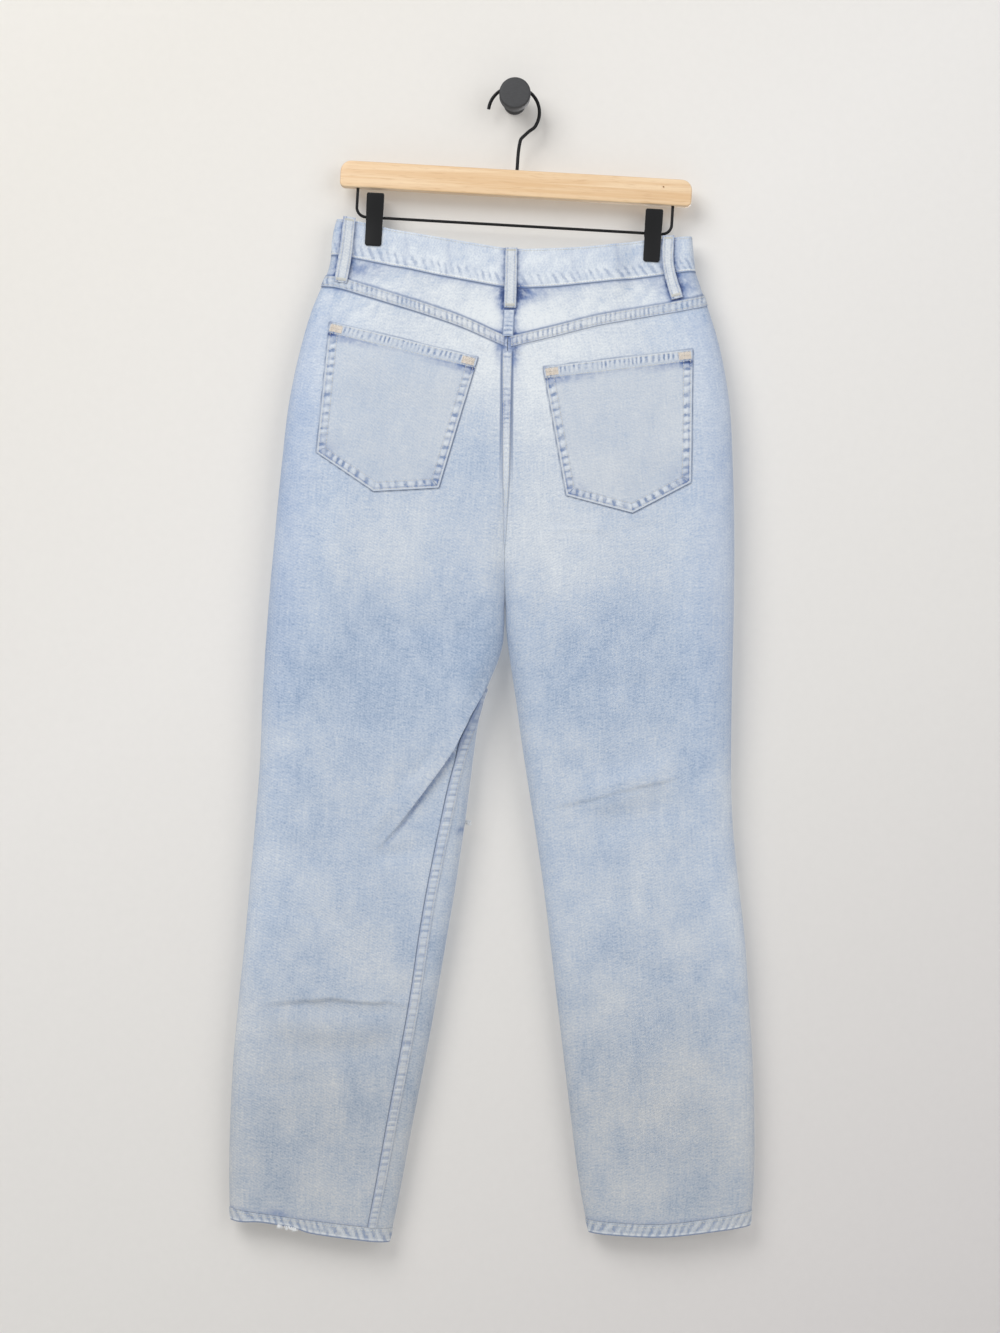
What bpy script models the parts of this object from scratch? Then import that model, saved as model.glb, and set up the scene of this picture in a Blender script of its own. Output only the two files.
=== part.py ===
# Light wash straight leg jeans, hung by the waistband from a wooden clip hanger on a wall knob.
#
# The frame: the wall is the plane y = 0 and the cloth hangs in front of it, at negative y.
# The back of the jeans faces -Y, x runs to the right of someone who looks at it, and +Z is up.
# The origin is the middle of the knob's flat face on the wall.
# Sizes are in millimetres, and "drop" is the distance below the origin.
import math

import bmesh
import bpy
import numpy as np

MM = 0.001

# Cloth
CLOTH = 1.2
BAND_CLOTH = 2.2
BAND_PROUD = 0.6
SEAM_GAP = 0.3
HEM_CLOTH = 2.0
HEM_PROUD = 0.5
PATCH_CLOTH = 1.1
TAPE_CLOTH = 0.7
LAP_CLOTH, LAP_WIDTH = 0.7, 11.0

# Hanger and knob
HANG_PLANE = -22.0
HANGER_TILT = math.radians(3.3)
HOOK_CENTRE = (-0.9, HANG_PLANE, -14.1)
HOOK_RADIUS = 26.2
HOOK_WIRE = 1.75
BAR_LENGTH, BAR_HEIGHT, BAR_THICK = 361.0, 27.0, 12.0
BAR_MIDDLE_X, BAR_MIDDLE_Z = 6.5, -73.5
RAIL_WIRE = 1.5
RAIL_HALF = 162.0
RAIL_Z = -116.2
RAIL_CORNER = 10.0
CLIP_FROM_MIDDLE = 143.0
CLIP_TOP_Z, CLIP_TIP_Z = -92.5, -146.0
CLIP_PLATE = 1.6
# The radius of a hole or bore is this much more than its wire's.
HOLE_ROOM = 0.35
KNOB_HEAD, KNOB_NECK, KNOB_FOOT = 16.0, 10.0, 11.5
KNOB_REACH = 48.0

# Section of the trousers at each drop: where the side folds are, half the depth of the flattened
# tube, how far along x the side fold rounds off, and the depth of the tube's middle.
SECTIONS = [
    # drop, left side, right side, half depth, side round, middle
    (118, -181.0, 181.0, 7.0, 9.0, -22.0),
    (137, -185.5, 181.5, 7.4, 9.5, -22.0),
    (156, -188.0, 182.5, 8.2, 11.0, -22.0),
    (174, -191.0, 184.5, 9.4, 13.0, -22.0),
    (192, -198.0, 190.0, 10.8, 16.0, -22.6),
    (218, -208.5, 199.0, 12.8, 21.0, -23.6),
    (254, -219.0, 209.5, 15.2, 27.0, -25.0),
    (310, -231.0, 219.5, 18.2, 34.0, -26.4),
    (382, -239.5, 223.5, 20.2, 40.0, -27.2),
    (454, -246.5, 225.0, 21.0, 42.0, -27.4),
    (521, -252.5, 224.5, 20.6, 41.0, -27.0),
    (618, -259.0, 222.5, 18.4, 38.0, -25.0),
    (680, -261.5, 222.0, 17.2, 35.0, -23.8),
    (742, -266.5, 223.5, 16.2, 33.0, -22.6),
    (803, -272.0, 229.5, 15.4, 32.0, -21.6),
    (865, -277.5, 236.5, 14.8, 31.0, -20.8),
    (927, -284.0, 240.5, 14.2, 30.0, -20.0),
    (988, -289.5, 244.5, 13.6, 29.0, -19.2),
    (1050, -292.8, 246.5, 13.0, 28.0, -18.4),
    (1112, -294.0, 246.0, 12.4, 27.0, -17.6),
    (1185, -291.5, 240.0, 11.8, 26.0, -16.8),
]
CENTRE_SEAM = [
    # drop, x
    (118, -4.0),
    (197, -5.0),
    (256, -7.6),
    (330, -8.6),
    (393, -9.2),
    (455, -10.4),
    (521, -10.2),
]
CROTCH_DROP = 521.0
INNER_FOLDS = [
    # drop, left leg, right leg
    (521, -10.6, -9.8),
    (545, -11.0, -9.0),
    (560, -12.4, -7.4),
    (577, -17.0, -5.0),
    (598, -25.5, -1.9),
    (618, -32.5, 1.2),
    (649, -38.8, 5.3),
    (680, -43.0, 9.8),
    (742, -51.0, 19.6),
    (803, -60.0, 28.6),
    (865, -70.5, 36.2),
    (927, -81.0, 43.4),
    (988, -92.3, 50.6),
    (1050, -104.5, 58.0),
    (1112, -116.0, 66.0),
    (1185, -130.5, 79.5),
]
# Above the crotch each half of the seat would round over this far past the centre seam, so the
# two halves meet in a valley that deepens towards the crotch.
VALLEY = [
    # drop, reach past the seam
    (118, 60.0),
    (350, 36.0),
    (400, 25.0),
    (440, 13.0),
    (475, 5.5),
    (500, 1.6),
    (521, 0.0),
]
INNER_ROUND = 24.0
# The back panel is cut wider than the front and wraps round the side fold. The left leg hangs
# turned, so its inseam lies on the back face, and the right leg's lies just behind the fold.
SEAMS = [
    # drop, left side wrap, right side wrap, left inseam turn, right inseam turn
    (118, 6.0, 6.0, 0.0, 0.0),
    (197, 8.0, 8.0, 0.0, 0.0),
    (310, 20.0, 15.0, 0.0, 0.0),
    (521, 28.0, 14.0, 0.0, 0.0),
    (560, 30.0, 14.0, 0.5, -2.0),
    (598, 32.0, 13.0, 3.0, -4.0),
    (618, 33.0, 13.0, 8.0, -6.0),
    (640, 34.0, 12.0, 17.0, -8.0),
    (665, 36.0, 12.0, 25.0, -9.0),
    (700, 38.0, 11.0, 30.0, -10.0),
    (742, 40.0, 10.0, 33.0, -12.0),
    (803, 40.0, 10.0, 36.0, -13.0),
    (927, 39.0, 9.0, 34.0, -14.0),
    (1076, 37.0, 8.0, 32.0, -14.0),
    (1185, 36.0, 8.0, 31.0, -14.0),
]
# Lines across the seat, from the side seam, 0, to the centre seam, 1.
BACK_LINES = [
    # across, band top left and right, band foot left and right, yoke foot left and right
    (0.00, 123.5, 142.0, 161.5, 178.5, 181.5, 199.0),
    (0.15, 126.5, 143.5, 164.0, 180.4, 185.3, 207.3),
    (0.30, 132.0, 146.0, 169.5, 184.2, 193.5, 213.2),
    (0.45, 138.0, 150.0, 175.5, 188.0, 202.5, 218.7),
    (0.60, 143.0, 153.2, 182.0, 191.4, 212.0, 224.6),
    (0.80, 149.5, 155.2, 189.5, 195.5, 227.0, 236.0),
    (1.00, 156.0, 156.0, 197.0, 197.0, 247.0, 247.0),
]
FRONT_LINES = [
    # across, band top left and right, band foot left and right
    (0.00, 123.5, 142.0, 161.5, 178.5),
    (0.15, 127.0, 144.5, 165.0, 181.5),
    (0.30, 136.0, 151.0, 174.0, 188.5),
    (0.45, 146.0, 157.5, 184.0, 195.0),
    (0.60, 155.0, 163.0, 193.0, 201.0),
    (0.80, 165.0, 168.5, 203.0, 206.5),
    (1.00, 171.0, 171.0, 209.0, 209.0),
]
HEM_LINES = {
    # side: (x, top of the hem, its foot) from one fold to the other
    -1: [(-294.0, 1139.0, 1151.5), (-216.0, 1150.0, 1163.5), (-126.0, 1160.5, 1175.0)],
    1: [(72.0, 1151.5, 1165.0), (150.0, 1154.5, 1168.0), (244.0, 1142.5, 1158.0)],
}
WORN_HEM_X, WORN_HEM_WIDTH, WORN_HEM_DEPTH = -246.0, 30.0, 4.0
# The front pocket mouth scoops from this far across down to the side seam.
POCKET_MOUTH_ACROSS, POCKET_MOUTH_DEPTH = 0.52, 74.0
FACING_BELOW_MOUTH, COIN_BELOW_BAND = 14.0, 15.0

# The tuck on the back of the left thigh: cloth on its upper left side stands this much proud.
THIGH_TUCK = [
    # x, drop, height
    (-12.0, 560.0, 0.0),
    (-19.5, 585.0, 3.0),
    (-32.0, 608.0, 6.0),
    (-43.5, 628.0, 8.0),
    (-53.5, 648.0, 9.0),
    (-64.5, 669.0, 9.0),
    (-80.5, 692.0, 7.6),
    (-99.0, 717.0, 5.6),
    (-119.5, 746.0, 3.0),
    (-142.0, 773.0, 0.0),
]
TUCK_STEP = 20.0
TUCK_FADE = 75.0
# Other large folds, each a soft ridge or, with a negative height, a trough along a bowed line.
FOLDS = [
    # face, from x, from drop, to x, to drop, bow, height, half width
    ("back", -275.0, 936.0, -92.0, 934.0, 14.0, 3.4, 20.0),
    ("back", -262.0, 962.0, -98.0, 964.0, 12.0, -2.8, 16.0),
    ("back", -206.0, 560.0, -222.0, 850.0, 4.0, -3.2, 22.0),
    ("back", -150.0, 600.0, -170.0, 900.0, -8.0, 2.2, 30.0),
    ("back", 60.0, 724.0, 172.0, 686.0, 5.0, 3.2, 18.0),
    ("back", 66.0, 752.0, 176.0, 716.0, 5.0, -2.6, 16.0),
    ("back", 40.0, 640.0, 110.0, 1120.0, 14.0, -2.2, 26.0),
    ("back", 150.0, 830.0, 196.0, 1110.0, -8.0, 2.0, 30.0),
    ("back", -196.0, 1050.0, -150.0, 1120.0, 3.0, -1.6, 22.0),
    ("back", -190.0, 250.0, -30.0, 300.0, 6.0, 1.6, 26.0),
    ("back", 20.0, 290.0, 190.0, 262.0, -5.0, 1.6, 26.0),
    ("front", -262.0, 700.0, -70.0, 690.0, 8.0, 3.0, 20.0),
    ("front", 30.0, 730.0, 214.0, 704.0, 8.0, 3.0, 20.0),
    ("front", -252.0, 905.0, -96.0, 925.0, 9.0, -2.6, 18.0),
    ("front", 58.0, 960.0, 226.0, 936.0, 9.0, 2.4, 20.0),
    ("front", -196.0, 470.0, -30.0, 430.0, 9.0, 2.4, 17.0),
    ("front", 24.0, 430.0, 190.0, 474.0, 9.0, 2.4, 17.0),
    ("front", -150.0, 540.0, -196.0, 1090.0, 6.0, -2.4, 28.0),
    ("front", 100.0, 540.0, 160.0, 1090.0, -6.0, -2.4, 28.0),
]
# Every piece on one face of one side shares these columns, and its rows come from the same drops,
# so that neighbours meet along the same line. Across runs from the side seam to the other seam.
COLUMNS = {
    (-1, "back"): [0, 5, 10, 15, 20, 26, 33, 40, 47, 54, 61, 67, 73, 79, 84.5, 90, 95, 100],
    (1, "back"): [0, 4, 8.5, 14, 21, 30, 40, 50, 60, 70, 79, 87, 94.5, 100],
    (-1, "front"): [0, 6, 13, 22, 32, 42, 52, 62, 71, 78, 83, 87.5, 92, 95.5, 100],
    (1, "front"): [0, 5.5, 12, 20, 30, 40, 50, 60, 70, 79, 86, 91, 95.5, 100],
}
SEAT_ROWS = [285, 312, 340, 369, 398, 428, 459, 490, 521]
LEG_ROWS = {
    -1: [537, 553, 569, 585, 601, 617, 633, 649, 666, 684, 703, 723, 744, 766, 790]
    + [818, 850, 884, 912, 936, 962, 992, 1028, 1066, 1104],
    1: [540, 562, 588, 616, 646, 676, 704, 730, 758, 790, 828, 868, 910, 952, 994, 1034, 1070, 1104],
}
# The clips pinch the two layers of waistband flat, this far from the hanging plane to the cloth.
PINCHED = 2.2
PINCH_FLAT, PINCH_FADE, PINCH_DROP_FADE = 16.0, 26.0, 60.0


def smooth_column(table, column):
    """A smooth function through one column of a table, along its first column."""
    knots = np.array([row[0] for row in table], float)
    values = np.array([row[column] for row in table], float)
    slopes = np.gradient(values, knots)

    def value(at):
        at = np.clip(at, knots[0], knots[-1])
        i = np.clip(np.searchsorted(knots, at, side="right") - 1, 0, len(knots) - 2)
        span = knots[i + 1] - knots[i]
        t = (at - knots[i]) / span
        start = (1 + 2 * t) * (1 - t) ** 2 * values[i] + t * (1 - t) ** 2 * span * slopes[i]
        end = t * t * (3 - 2 * t) * values[i + 1] + t * t * (t - 1) * span * slopes[i + 1]
        return start + end

    return value


SIDE_FOLD = {-1: smooth_column(SECTIONS, 1), 1: smooth_column(SECTIONS, 2)}
HALF_DEPTH = smooth_column(SECTIONS, 3)
SIDE_ROUND = smooth_column(SECTIONS, 4)
MIDDLE = smooth_column(SECTIONS, 5)
CENTRE_X = smooth_column(CENTRE_SEAM, 1)
INNER_X = {-1: smooth_column(INNER_FOLDS, 1), 1: smooth_column(INNER_FOLDS, 2)}
REACH = smooth_column(VALLEY, 1)
SIDE_WRAP = {-1: smooth_column(SEAMS, 1), 1: smooth_column(SEAMS, 2)}
INSEAM_TURN = {-1: smooth_column(SEAMS, 3), 1: smooth_column(SEAMS, 4)}
TUCK_AT = [smooth_column([(i, *row) for i, row in enumerate(THIGH_TUCK)], c) for c in (1, 2, 3)]


def step(t):
    """Smooth step from 0 to 1 as t goes from 0 to 1."""
    t = np.clip(t, 0.0, 1.0)
    return t * t * (3 - 2 * t)


def inner_limit(side, drop):
    """x of the centre seam above the crotch, and of the leg's inner fold below it."""
    return np.where(drop < CROTCH_DROP, CENTRE_X(drop) + 0.1 * side, INNER_X[side](drop))


class Section:
    """The lengths of the half section of one side at each drop."""

    def __init__(self, side, drop):
        self.side = side
        self.depth = HALF_DEPTH(drop)
        self.side_round = SIDE_ROUND(drop)
        self.inner_round = INNER_ROUND + 8.0 * step((CROTCH_DROP - drop + 80.0) / 160.0)
        self.fold_x = SIDE_FOLD[side](drop)
        self.reach = np.where(drop < CROTCH_DROP, REACH(drop), 0.0)
        self.width = side * (self.fold_x - inner_limit(side, drop)) + self.reach
        self.side_arc = quarter_ellipse(self.side_round, self.depth)
        self.inner_arc = quarter_ellipse(self.inner_round, self.depth)
        self.flat = self.width - self.side_round - self.inner_round
        self.length = self.side_arc + self.flat + self.inner_arc

    def run_at(self, width):
        """Distance round the section from the side fold to the point this far in along x."""
        side_share = np.clip(1 - width / self.side_round, -1, 1)
        inner_share = np.clip(1 - (self.width - width) / self.inner_round, -1, 1)
        on_side = self.side_arc * np.arccos(side_share) / (math.pi / 2)
        on_flat = self.side_arc + width - self.side_round
        on_inner = self.side_arc + self.flat + self.inner_arc * np.arcsin(inner_share) / (math.pi / 2)
        inside = np.where(width > self.width - self.inner_round, on_inner, on_flat)
        return np.where(width < self.side_round, on_side, inside)


def quarter_ellipse(a, b):
    return math.pi / 4 * (3 * (a + b) - np.sqrt((3 * a + b) * (a + 3 * b)))


def bowed_fold(row, x, drop):
    """Height that one fold adds at each point of its face."""
    _, x0, drop0, x1, drop1, bow, height, half_width = row
    long = math.hypot(x1 - x0, drop1 - drop0)
    ux, ud = (x1 - x0) / long, (drop1 - drop0) / long
    along = ((x - x0) * ux + (drop - drop0) * ud) / long
    off = (x - x0) * -ud + (drop - drop0) * ux
    inside = np.clip(along, 0, 1)
    ends = step(along / 0.3) * step((1 - along) / 0.3)
    return height * ends * np.exp(-(((off - bow * 4 * inside * (1 - inside)) / half_width) ** 2))


def thigh_tuck(x, drop):
    """Height of the cloth that folds over the inseam at the back of the left thigh."""
    steps = np.linspace(0, len(THIGH_TUCK) - 1, 73)
    line_x, line_drop, line_height = (f(steps) for f in TUCK_AT)
    tangent = np.stack([np.gradient(line_x), np.gradient(line_drop)], -1)
    tangent /= np.linalg.norm(tangent, axis=-1, keepdims=True)
    dx = x[..., None] - line_x
    dd = drop[..., None] - line_drop
    nearest = np.argmin(dx * dx + dd * dd, axis=-1)
    pick = np.take_along_axis
    dx = pick(dx, nearest[..., None], -1)[..., 0]
    dd = pick(dd, nearest[..., None], -1)[..., 0]
    away = -dx * tangent[nearest, 1] + dd * tangent[nearest, 0]
    proud = step(away / TUCK_STEP) * np.exp(-((np.maximum(away, 0) / TUCK_FADE) ** 2))
    return line_height[nearest] * proud


def fold_height(back, x, drop):
    """Sum of the folds on the back face where back is true, and on the front face elsewhere."""
    total = np.where(back, thigh_tuck(x, drop), 0.0)
    for row in FOLDS:
        on_face = back if row[0] == "back" else ~back
        total = total + np.where(on_face, bowed_fold(row, x, drop), 0.0)
    return total


def pinch(x, drop):
    """How much of the cloth's depth the nearest clip takes up, from 0 to 1."""
    weight = np.zeros_like(x)
    for side in (-1, 1):
        foot_x, foot_drop = clip_foot(side)
        beside = step(1 - (np.abs(x - foot_x) - PINCH_FLAT) / PINCH_FADE)
        below = step(1 - (drop - foot_drop - 4.0) / PINCH_DROP_FADE)
        weight = np.maximum(weight, beside * below)
    return weight


def hanger_to_world(x, z):
    """Where a point of the tilted hanger lies, as (x, drop)."""
    cos, sin = math.cos(HANGER_TILT), math.sin(HANGER_TILT)
    return HOOK_CENTRE[0] + x * cos + z * sin, -(HOOK_CENTRE[2] - x * sin + z * cos)


def clip_foot(side):
    return hanger_to_world(BAR_MIDDLE_X + side * CLIP_FROM_MIDDLE, CLIP_TIP_Z)


def skin(side, drop, run):
    """Point of the cloth's outer face, this far round the section from the side fold."""
    section = Section(side, drop)
    back = (run >= 0) & (run <= section.length)
    folded = np.where(run < 0, -run, np.where(run > section.length, 2 * section.length - run, run))
    side_turn = np.clip(folded / section.side_arc, 0, 1) * math.pi / 2
    past_flat = folded - section.side_arc - section.flat
    inner_turn = np.clip(past_flat / section.inner_arc, 0, 1) * math.pi / 2
    on_side = folded < section.side_arc
    on_inner = past_flat > 0
    width = folded - section.side_arc + section.side_round
    width = np.where(on_side, section.side_round * (1 - np.cos(side_turn)), width)
    width = np.where(on_inner, section.width - section.inner_round * (1 - np.sin(inner_turn)), width)
    fullness = np.where(on_side, np.sin(side_turn), np.where(on_inner, np.cos(inner_turn), 1.0))
    x = section.fold_x - side * width
    crown = 0.15 * step((drop - CROTCH_DROP) / 120.0)
    crown = 1 + crown * (1 - (2 * width / section.width - 1) ** 2)
    height = section.depth * fullness * crown + fold_height(back, x, drop) * np.minimum(1, 1.6 * fullness)
    weight = pinch(x, drop)
    height = height * (1 - weight) + PINCHED * weight
    return np.stack([x, MIDDLE(drop) + np.where(back, -height, height), -drop], -1)


def lifted(side, drop, run, lift):
    """Point off the cloth's outer face: lift is outwards, and negative inside."""
    drop, run, lift = np.broadcast_arrays(np.asarray(drop, float), run, lift)
    across = skin(side, drop, run + 0.6) - skin(side, drop, run - 0.6)
    down = skin(side, drop + 1.2, run) - skin(side, drop - 1.2, run)
    normal = side * np.cross(across, down)
    normal /= np.linalg.norm(normal, axis=-1, keepdims=True)
    return skin(side, drop, run) + normal * lift[..., None]


def seam_to_seam(side, face, drop):
    """Where a panel starts, at the side seam, and ends, at the centre seam or inseam."""
    section = Section(side, drop)
    centre = section.run_at(section.width - section.reach)
    turn = np.where(drop < CROTCH_DROP, 0.0, INSEAM_TURN[side](drop))
    wrap = SIDE_WRAP[side](drop)
    if face == "back":
        return -wrap, centre - turn
    return 2 * section.length - wrap, 2 * section.length - centre - turn


def place(side, face, across, drop, lift=0.0):
    """Point of a panel: across is 0 at the side seam and 1 at the centre seam or inseam."""
    across, drop = np.broadcast_arrays(np.asarray(across, float), np.asarray(drop, float))
    start, end = seam_to_seam(side, face, drop)
    return lifted(side, drop, start + across * (end - start), lift)


def on_face(face, x, drop, lift=0.0):
    """Point over a place on the back or front, given by x and drop."""
    x, drop, lift = np.broadcast_arrays(np.asarray(x, float), np.asarray(drop, float), lift)
    sides = np.where(drop < CROTCH_DROP, np.where(x < CENTRE_X(drop), -1, 1), np.where(x < -10.2, -1, 1))
    found = np.zeros(x.shape + (3,))
    for side in (-1, 1):
        section = Section(side, drop)
        run = section.run_at(side * (section.fold_x - x))
        if face == "front":
            run = 2 * section.length - run
        found = np.where((sides == side)[..., None], lifted(side, drop, run, lift), found)
    return found


def line_at(table, column, across):
    """A line across the seat. Past the centre seam it runs on as the other side's line."""
    mirrored = np.where(across > 1, 2 - across, across)
    return smooth_column(table, column)(mirrored)


def band_top(side, face, across):
    table = BACK_LINES if face == "back" else FRONT_LINES
    return line_at(table, 1 if side < 0 else 2, across)


def band_foot(side, face, across):
    table = BACK_LINES if face == "back" else FRONT_LINES
    return line_at(table, 3 if side < 0 else 4, across)


def yoke_foot(side, across):
    return line_at(BACK_LINES, 5 if side < 0 else 6, across)


def pocket_mouth(side, across):
    """Drop of the front panel's top edge, which scoops down to the side seam as a pocket mouth."""
    share = np.clip(across / POCKET_MOUTH_ACROSS, 0, 1)
    return band_foot(side, "front", across) + POCKET_MOUTH_DEPTH * (1 - share**1.9) ** 0.85


def hem_line(side, x, column):
    """Drop of the hem's top, column 1, or foot, column 2."""
    drop = smooth_column(HEM_LINES[side], column)(x)
    if side < 0 and column == 2:
        drop = drop - WORN_HEM_DEPTH * np.exp(-(((x - WORN_HEM_X) / WORN_HEM_WIDTH) ** 4))
    return drop


def hem_drop(side, face, across, column):
    nominal = np.full_like(across, 1155.0)
    return hem_line(side, place(side, face, across, nominal)[..., 0], column)


def columns_of(side, face):
    """The shared columns of one face, stopping half a seam's gap short of both seams."""
    gap = SEAM_GAP / 2 / 220.0
    return np.clip(np.array(COLUMNS[side, face]) / 100.0, gap, 1 - gap)


def panel_drops(side, face):
    """Drop of each point of a leg panel's grid, from its top seam to the top of the hem."""
    across = columns_of(side, face)
    top = yoke_foot(side, across) if face == "back" else pocket_mouth(side, across)
    top = top + SEAM_GAP / 2
    first = SEAT_ROWS[0]
    lap = top + LAP_WIDTH
    shares = (0.36, 0.7) if face == "back" else (0.5,)
    rows = [top, lap] + [lap + share * (first - lap) for share in shares]
    rows += [np.full_like(across, d) for d in SEAT_ROWS + LEG_ROWS[side]]
    rows.append(hem_drop(side, face, across, 1) - SEAM_GAP / 2)
    return np.stack(rows)


def material(name, colour, roughness, metallic=0.0):
    made = bpy.data.materials.get(name) or bpy.data.materials.new(name)
    made.use_nodes = True
    shader = made.node_tree.nodes["Principled BSDF"]
    shader.inputs["Base Color"].default_value = (*colour, 1.0)
    shader.inputs["Roughness"].default_value = roughness
    shader.inputs["Metallic"].default_value = metallic
    return made


def denim():
    return material("light wash denim", (0.52, 0.62, 0.76), 0.9)


def black_steel():
    return material("black coated steel", (0.02, 0.021, 0.024), 0.45, 0.6)


def new_object(name, mesh, finish, parent=None):
    mesh.materials.append(finish)
    made = bpy.data.objects.new(name, mesh)
    bpy.context.scene.collection.objects.link(made)
    made.parent = parent
    return made


def mesh_of(name, points, faces):
    """A closed mesh in metres from points in millimetres, with its faces turned outwards."""
    mesh = bpy.data.meshes.new(name)
    mesh.from_pydata([tuple(p) for p in np.asarray(points) * MM], [], faces)
    shell = bmesh.new()
    shell.from_mesh(mesh)
    bmesh.ops.recalc_face_normals(shell, faces=shell.faces)
    shell.to_mesh(mesh)
    shell.free()
    return mesh


def wall(name, outer, inner, finish, ring=False, parent=None):
    """A sheet's wall between two grids of points, rows down and columns along. A ring has no ends."""
    rows, columns = outer.shape[:2]
    points = np.concatenate([outer.reshape(-1, 3), inner.reshape(-1, 3)])
    second = rows * columns
    steps = columns if ring else columns - 1
    faces = []
    for r in range(rows - 1):
        for c in range(steps):
            a, b = r * columns + c, r * columns + (c + 1) % columns
            for first in (0, second):
                faces.append((first + a, first + b, first + b + columns))
                faces.append((first + a, first + b + columns, first + a + columns))
    for c in range(steps):
        for r in (0, rows - 1):
            a, b = r * columns + c, r * columns + (c + 1) % columns
            faces.append((a, b, second + b, second + a))
    if not ring:
        for r in range(rows - 1):
            for c in (0, columns - 1):
                a, b = r * columns + c, (r + 1) * columns + c
                faces.append((a, b, second + b, second + a))
    made = new_object(name, mesh_of(name, points, faces), finish, parent)
    made.data.shade_smooth()
    made.data.set_sharp_from_angle(angle=math.radians(50))
    return made


def piece(name, side, face, across, drop, lift=0.0, thick=CLOTH):
    """A piece of cloth whose outer face is at lift, from the across and drop of its grid."""
    across = np.broadcast_to(across, drop.shape)
    outer = place(side, face, across, drop, lift)
    inner = place(side, face, across, drop, lift - thick)
    return wall(name, outer, inner, denim())


def patch(name, face, x, drop, lift, thick, finish=None):
    """A piece laid on the back or front, from the x and drop of its grid. lift is its under face."""
    outer = on_face(face, x, drop, lift + thick)
    inner = on_face(face, x, drop, lift)
    return wall(name, outer, inner, finish or denim())


def leg_panels():
    for side, label in ((-1, "left"), (1, "right")):
        for face in ("back", "front"):
            made = piece(f"{face}_{label}", side, face, columns_of(side, face), panel_drops(side, face))
            if (side, face) == (-1, "front"):
                cut_knee_rip(made)


RIP_X, RIP_DROP, RIP_HALF_LENGTH, RIP_HALF_GAP, RIP_BEND = -92.0, 747.0, 41.0, 6.5, 2.5
RIP_POINTS = 20


def cut_knee_rip(front):
    """The worn slit across the left knee, which ends at the leg's inner fold."""
    lens = []
    for i in range(RIP_POINTS):
        angle = 2 * math.pi * i / RIP_POINTS
        rise = RIP_BEND * math.cos(2 * angle) + RIP_HALF_GAP * math.sin(angle) ** 3
        lens.append((RIP_X + RIP_HALF_LENGTH * math.cos(angle), -RIP_DROP + rise))
    behind_back, before_front = MIDDLE(RIP_DROP) + 2.0, 20.0
    points = [(x, y, z) for y in (behind_back, before_front) for x, z in lens]
    cutter = new_object("knee_rip_cutter", prism("knee_rip_cutter", points, len(lens)), denim())
    combine(front, cutter, "DIFFERENCE")


def combine(target, tool, operation):
    tool.hide_render = True
    tool.display_type = "WIRE"
    boolean = target.modifiers.new(operation.lower(), "BOOLEAN")
    boolean.operation = operation
    boolean.solver = "EXACT"
    boolean.object = tool


def yokes():
    for side, label in ((-1, "left"), (1, "right")):
        across = columns_of(side, "back")
        high = band_foot(side, "back", across) + SEAM_GAP / 2
        low = yoke_foot(side, across) - SEAM_GAP / 2
        drop = high + np.linspace(0, 1, 4)[:, None] * (low - high)
        piece(f"yoke_{label}", side, "back", across, drop)


# The waistband's left end runs this far past the centre seam, and stands this much off its right end.
BAND_LAP, BAND_LAP_GAP = (1.13, 1.08, 1.03), 0.4


def waistband():
    """One folded strip round the waist. Its left end laps over the right one at the front."""
    runs = [
        (-1, "front", np.concatenate([BAND_LAP, np.array(COLUMNS[-1, "front"])[::-1] / 100])),
        (-1, "back", np.array(COLUMNS[-1, "back"])[1:] / 100),
        (1, "back", np.array(COLUMNS[1, "back"])[-2::-1] / 100),
        (1, "front", np.clip(np.array(COLUMNS[1, "front"])[1:] / 100, 0, 0.995)),
    ]
    down = np.linspace(0, 1, 4)[:, None]
    outer, inner = [], []
    for side, face, across in runs:
        high = band_top(side, face, across)
        low = band_foot(side, face, across) - SEAM_GAP / 2
        drop = high + down * (low - high)
        on_lap = side < 0 and face == "front"
        lap = (BAND_CLOTH + BAND_LAP_GAP) * step((across - 0.87) / 0.1) if on_lap else 0.0
        lift = np.broadcast_to(BAND_PROUD + lap, drop.shape)
        across = np.broadcast_to(across, drop.shape)
        outer.append(place(side, face, across, drop, lift))
        inner.append(place(side, face, across, drop, lift - BAND_CLOTH))
    wall("waistband", np.concatenate(outer, 1), np.concatenate(inner, 1), denim())


def hems():
    for side, label in ((-1, "left"), (1, "right")):
        outer, inner = [], []
        for face, order in (("back", slice(0, -1)), ("front", slice(-1, 0, -1))):
            across = (np.array(COLUMNS[side, face]) / 100)[order]
            high = hem_drop(side, face, across, 1) + SEAM_GAP / 2
            low = hem_drop(side, face, across, 2)
            drop = np.stack([high, (high + low) / 2, low])
            across = np.broadcast_to(across, drop.shape)
            outer.append(place(side, face, across, drop, HEM_PROUD))
            inner.append(place(side, face, across, drop, HEM_PROUD - HEM_CLOTH))
        wall(f"hem_{label}", np.concatenate(outer, 1), np.concatenate(inner, 1), denim(), ring=True)


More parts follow.
